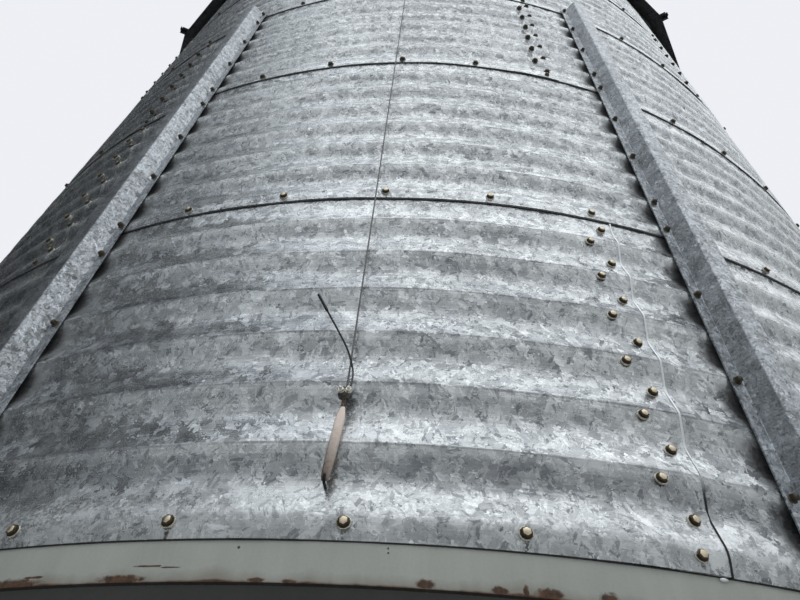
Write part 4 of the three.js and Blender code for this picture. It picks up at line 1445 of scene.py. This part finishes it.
# %% Stretch the strap
STRAP_LENGTH = 0.122
STRAP_LEAN = radians(5.5)
STRAP_THICKNESS = 0.004
STRAP_CORNER = 0.0014
HOOK_RADIUS = 0.0022
STRAP_RUNS = np.concatenate(
    [np.linspace(0, 0.012, 6), np.linspace(0.018, 0.108, 16), np.linspace(0.112, 0.122, 6)])
STRAP_SHAPE = np.array([
    (0.000, 0.0060), (0.002, 0.0080), (0.006, 0.0098), (0.012, 0.0124), (0.020, 0.0146), (0.030, 0.0150),
    (0.060, 0.0156), (0.085, 0.0152), (0.100, 0.0140), (0.112, 0.0128), (0.119, 0.0116), (0.122, 0.0088),
])
STRAP_BOW = np.array([(0, 0.008), (0.0427, 0.005), (0.0732, 0.0035), (0.122, 0.0015)])
strap_top = WALL_BASE + 0.207


def strap():
    """A flat strap lofted from rounded sections, with the place across and the distance down it as
    its flat map. It leans to the left on its way down, and bows in towards the wall."""
    widths, backs = (np.interp(STRAP_RUNS, *shape.T) for shape in (STRAP_SHAPE, STRAP_BOW))
    rings, flats = [], []
    for run, width, back in zip(STRAP_RUNS, widths, backs):
        across, deep = rounded_box(width, STRAP_THICKNESS, STRAP_CORNER).T
        out = WALL_RADIUS + (back + STRAP_THICKNESS / 2 + deep)
        up = np.full(len(across), strap_top - run * cos(STRAP_LEAN))
        rings.append(np.stack([across - run * sin(STRAP_LEAN), out, up], -1))
        flats.append(flat_pairs(across, run))
    points = at_angle(np.stack(capped(rings)), CLIP_TURN)
    flats = [flats[0], *flats, flats[-1]]
    return points.reshape(-1, 3), grid_quads(*points.shape[:2]), np.concatenate(flats)


new_piece("rubber_strap", [strap()], [tan_rubber], ["tension_strap"], 50)

# %% Hang it on its hook
HOOK_ROUTE = [(-0.012, 0), (0.001, -0.001), (0.0065, -0.0005), (0.0088, 0.0035), (0.0088, 0.009)]
hook_side = -STRAP_LENGTH * sin(STRAP_LEAN)
hook_up = strap_top - STRAP_LENGTH * cos(STRAP_LEAN) - 0.003
hook_line = [(hook_side, WALL_RADIUS + out, hook_up + up) for out, up in HOOK_ROUTE]
hook = tube(at_angle(curve_through(hook_line, 5), CLIP_TURN), HOOK_RADIUS)
new_piece("strap_hook", [hook], [black_iron], ["wall_hook"], 50, mapped=False)

# %% [markdown]
# ## Light and floor
# The day was overcast: an even sky, dark near the horizon, with the left side shaded. A world alone
# copies that. How nearly a direction points to the shaded side is their dot product over the
# direction's level part. The floor is plain and pale.

# %% Light the studio
SHADED_SIDE = (-0.9063, 0.4226, 0.0)
SKY_STEPS = [
    (0.0, 0.20, 0.12), (0.20, 0.42, 0.12), (0.42, 0.56, 0.10), (0.56, 0.72, 0.31), (0.72, 0.88, 0.30),
    (0.88, 1.0, 0.16),
]
SKY_BASE = 0.31


def studio_world():
    """A world that brightens with height, in steps of [from, to, gain], and is dim and bluer on the
    shaded side up to near the zenith. It is a third brighter for diffuse rays, and the camera sees
    one plain pale tone."""
    world = bpy.data.worlds.new("studio")
    scene.world = world
    world.use_nodes = True
    world.node_tree.nodes.clear()
    sky = Graph(world.node_tree)
    look = sky.node("TexCoord", output="Generated")
    rise = sky.split(look, 2)
    level = (1 - rise * rise).larger(0.04).maths("POWER", 0.5)
    sideways = sky.vector("DOT_PRODUCT", look, SHADED_SIDE, output=1).maths("DIVIDE", level)
    shaded = sideways.between(0.24, 0.66) * rise.until(0.92, 0.985)
    height = SKY_BASE
    for low, high, gain in SKY_STEPS:
        height = height + rise.between(low, high) * gain
    soft = sky.node("LightPath", output="Is Diffuse Ray")
    strength = height * (1 - shaded * 0.96) * (1 + soft * 0.35)
    tint = sky.blend(sideways.between(0.0, 0.45), (0.93, 0.97, 1.0), (0.885, 0.96, 1.03))
    light = sky.node("Background", {"Color": tint, "Strength": strength})
    seen = sky.node("Background", {"Color": (0.85, 0.865, 0.905)})
    ray = sky.node("LightPath", output="Is Camera Ray")
    sky.node("OutputWorld", {"Surface": sky.node("MixShader", {0: ray, 1: light, 2: seen})})
    return world


print("world:", studio_world().name)

# %% Lay the floor
FLOOR = 40.0
floor_mesh = bpy.data.meshes.new("floor")
floor_corners = [(-FLOOR, -FLOOR, 0), (FLOOR, -FLOOR, 0), (FLOOR, FLOOR, 0), (-FLOOR, FLOOR, 0)]
floor_mesh.from_pydata(floor_corners, [], [(0, 1, 2, 3)])
floor_mesh.materials.append(Finish("floor_pale").set(Base_Color=(0.50, 0.50, 0.49), Roughness=0.9))
floor = bpy.data.objects.new("floor", floor_mesh)
scene.collection.objects.link(floor)
scene.view_settings.view_transform = "Standard"
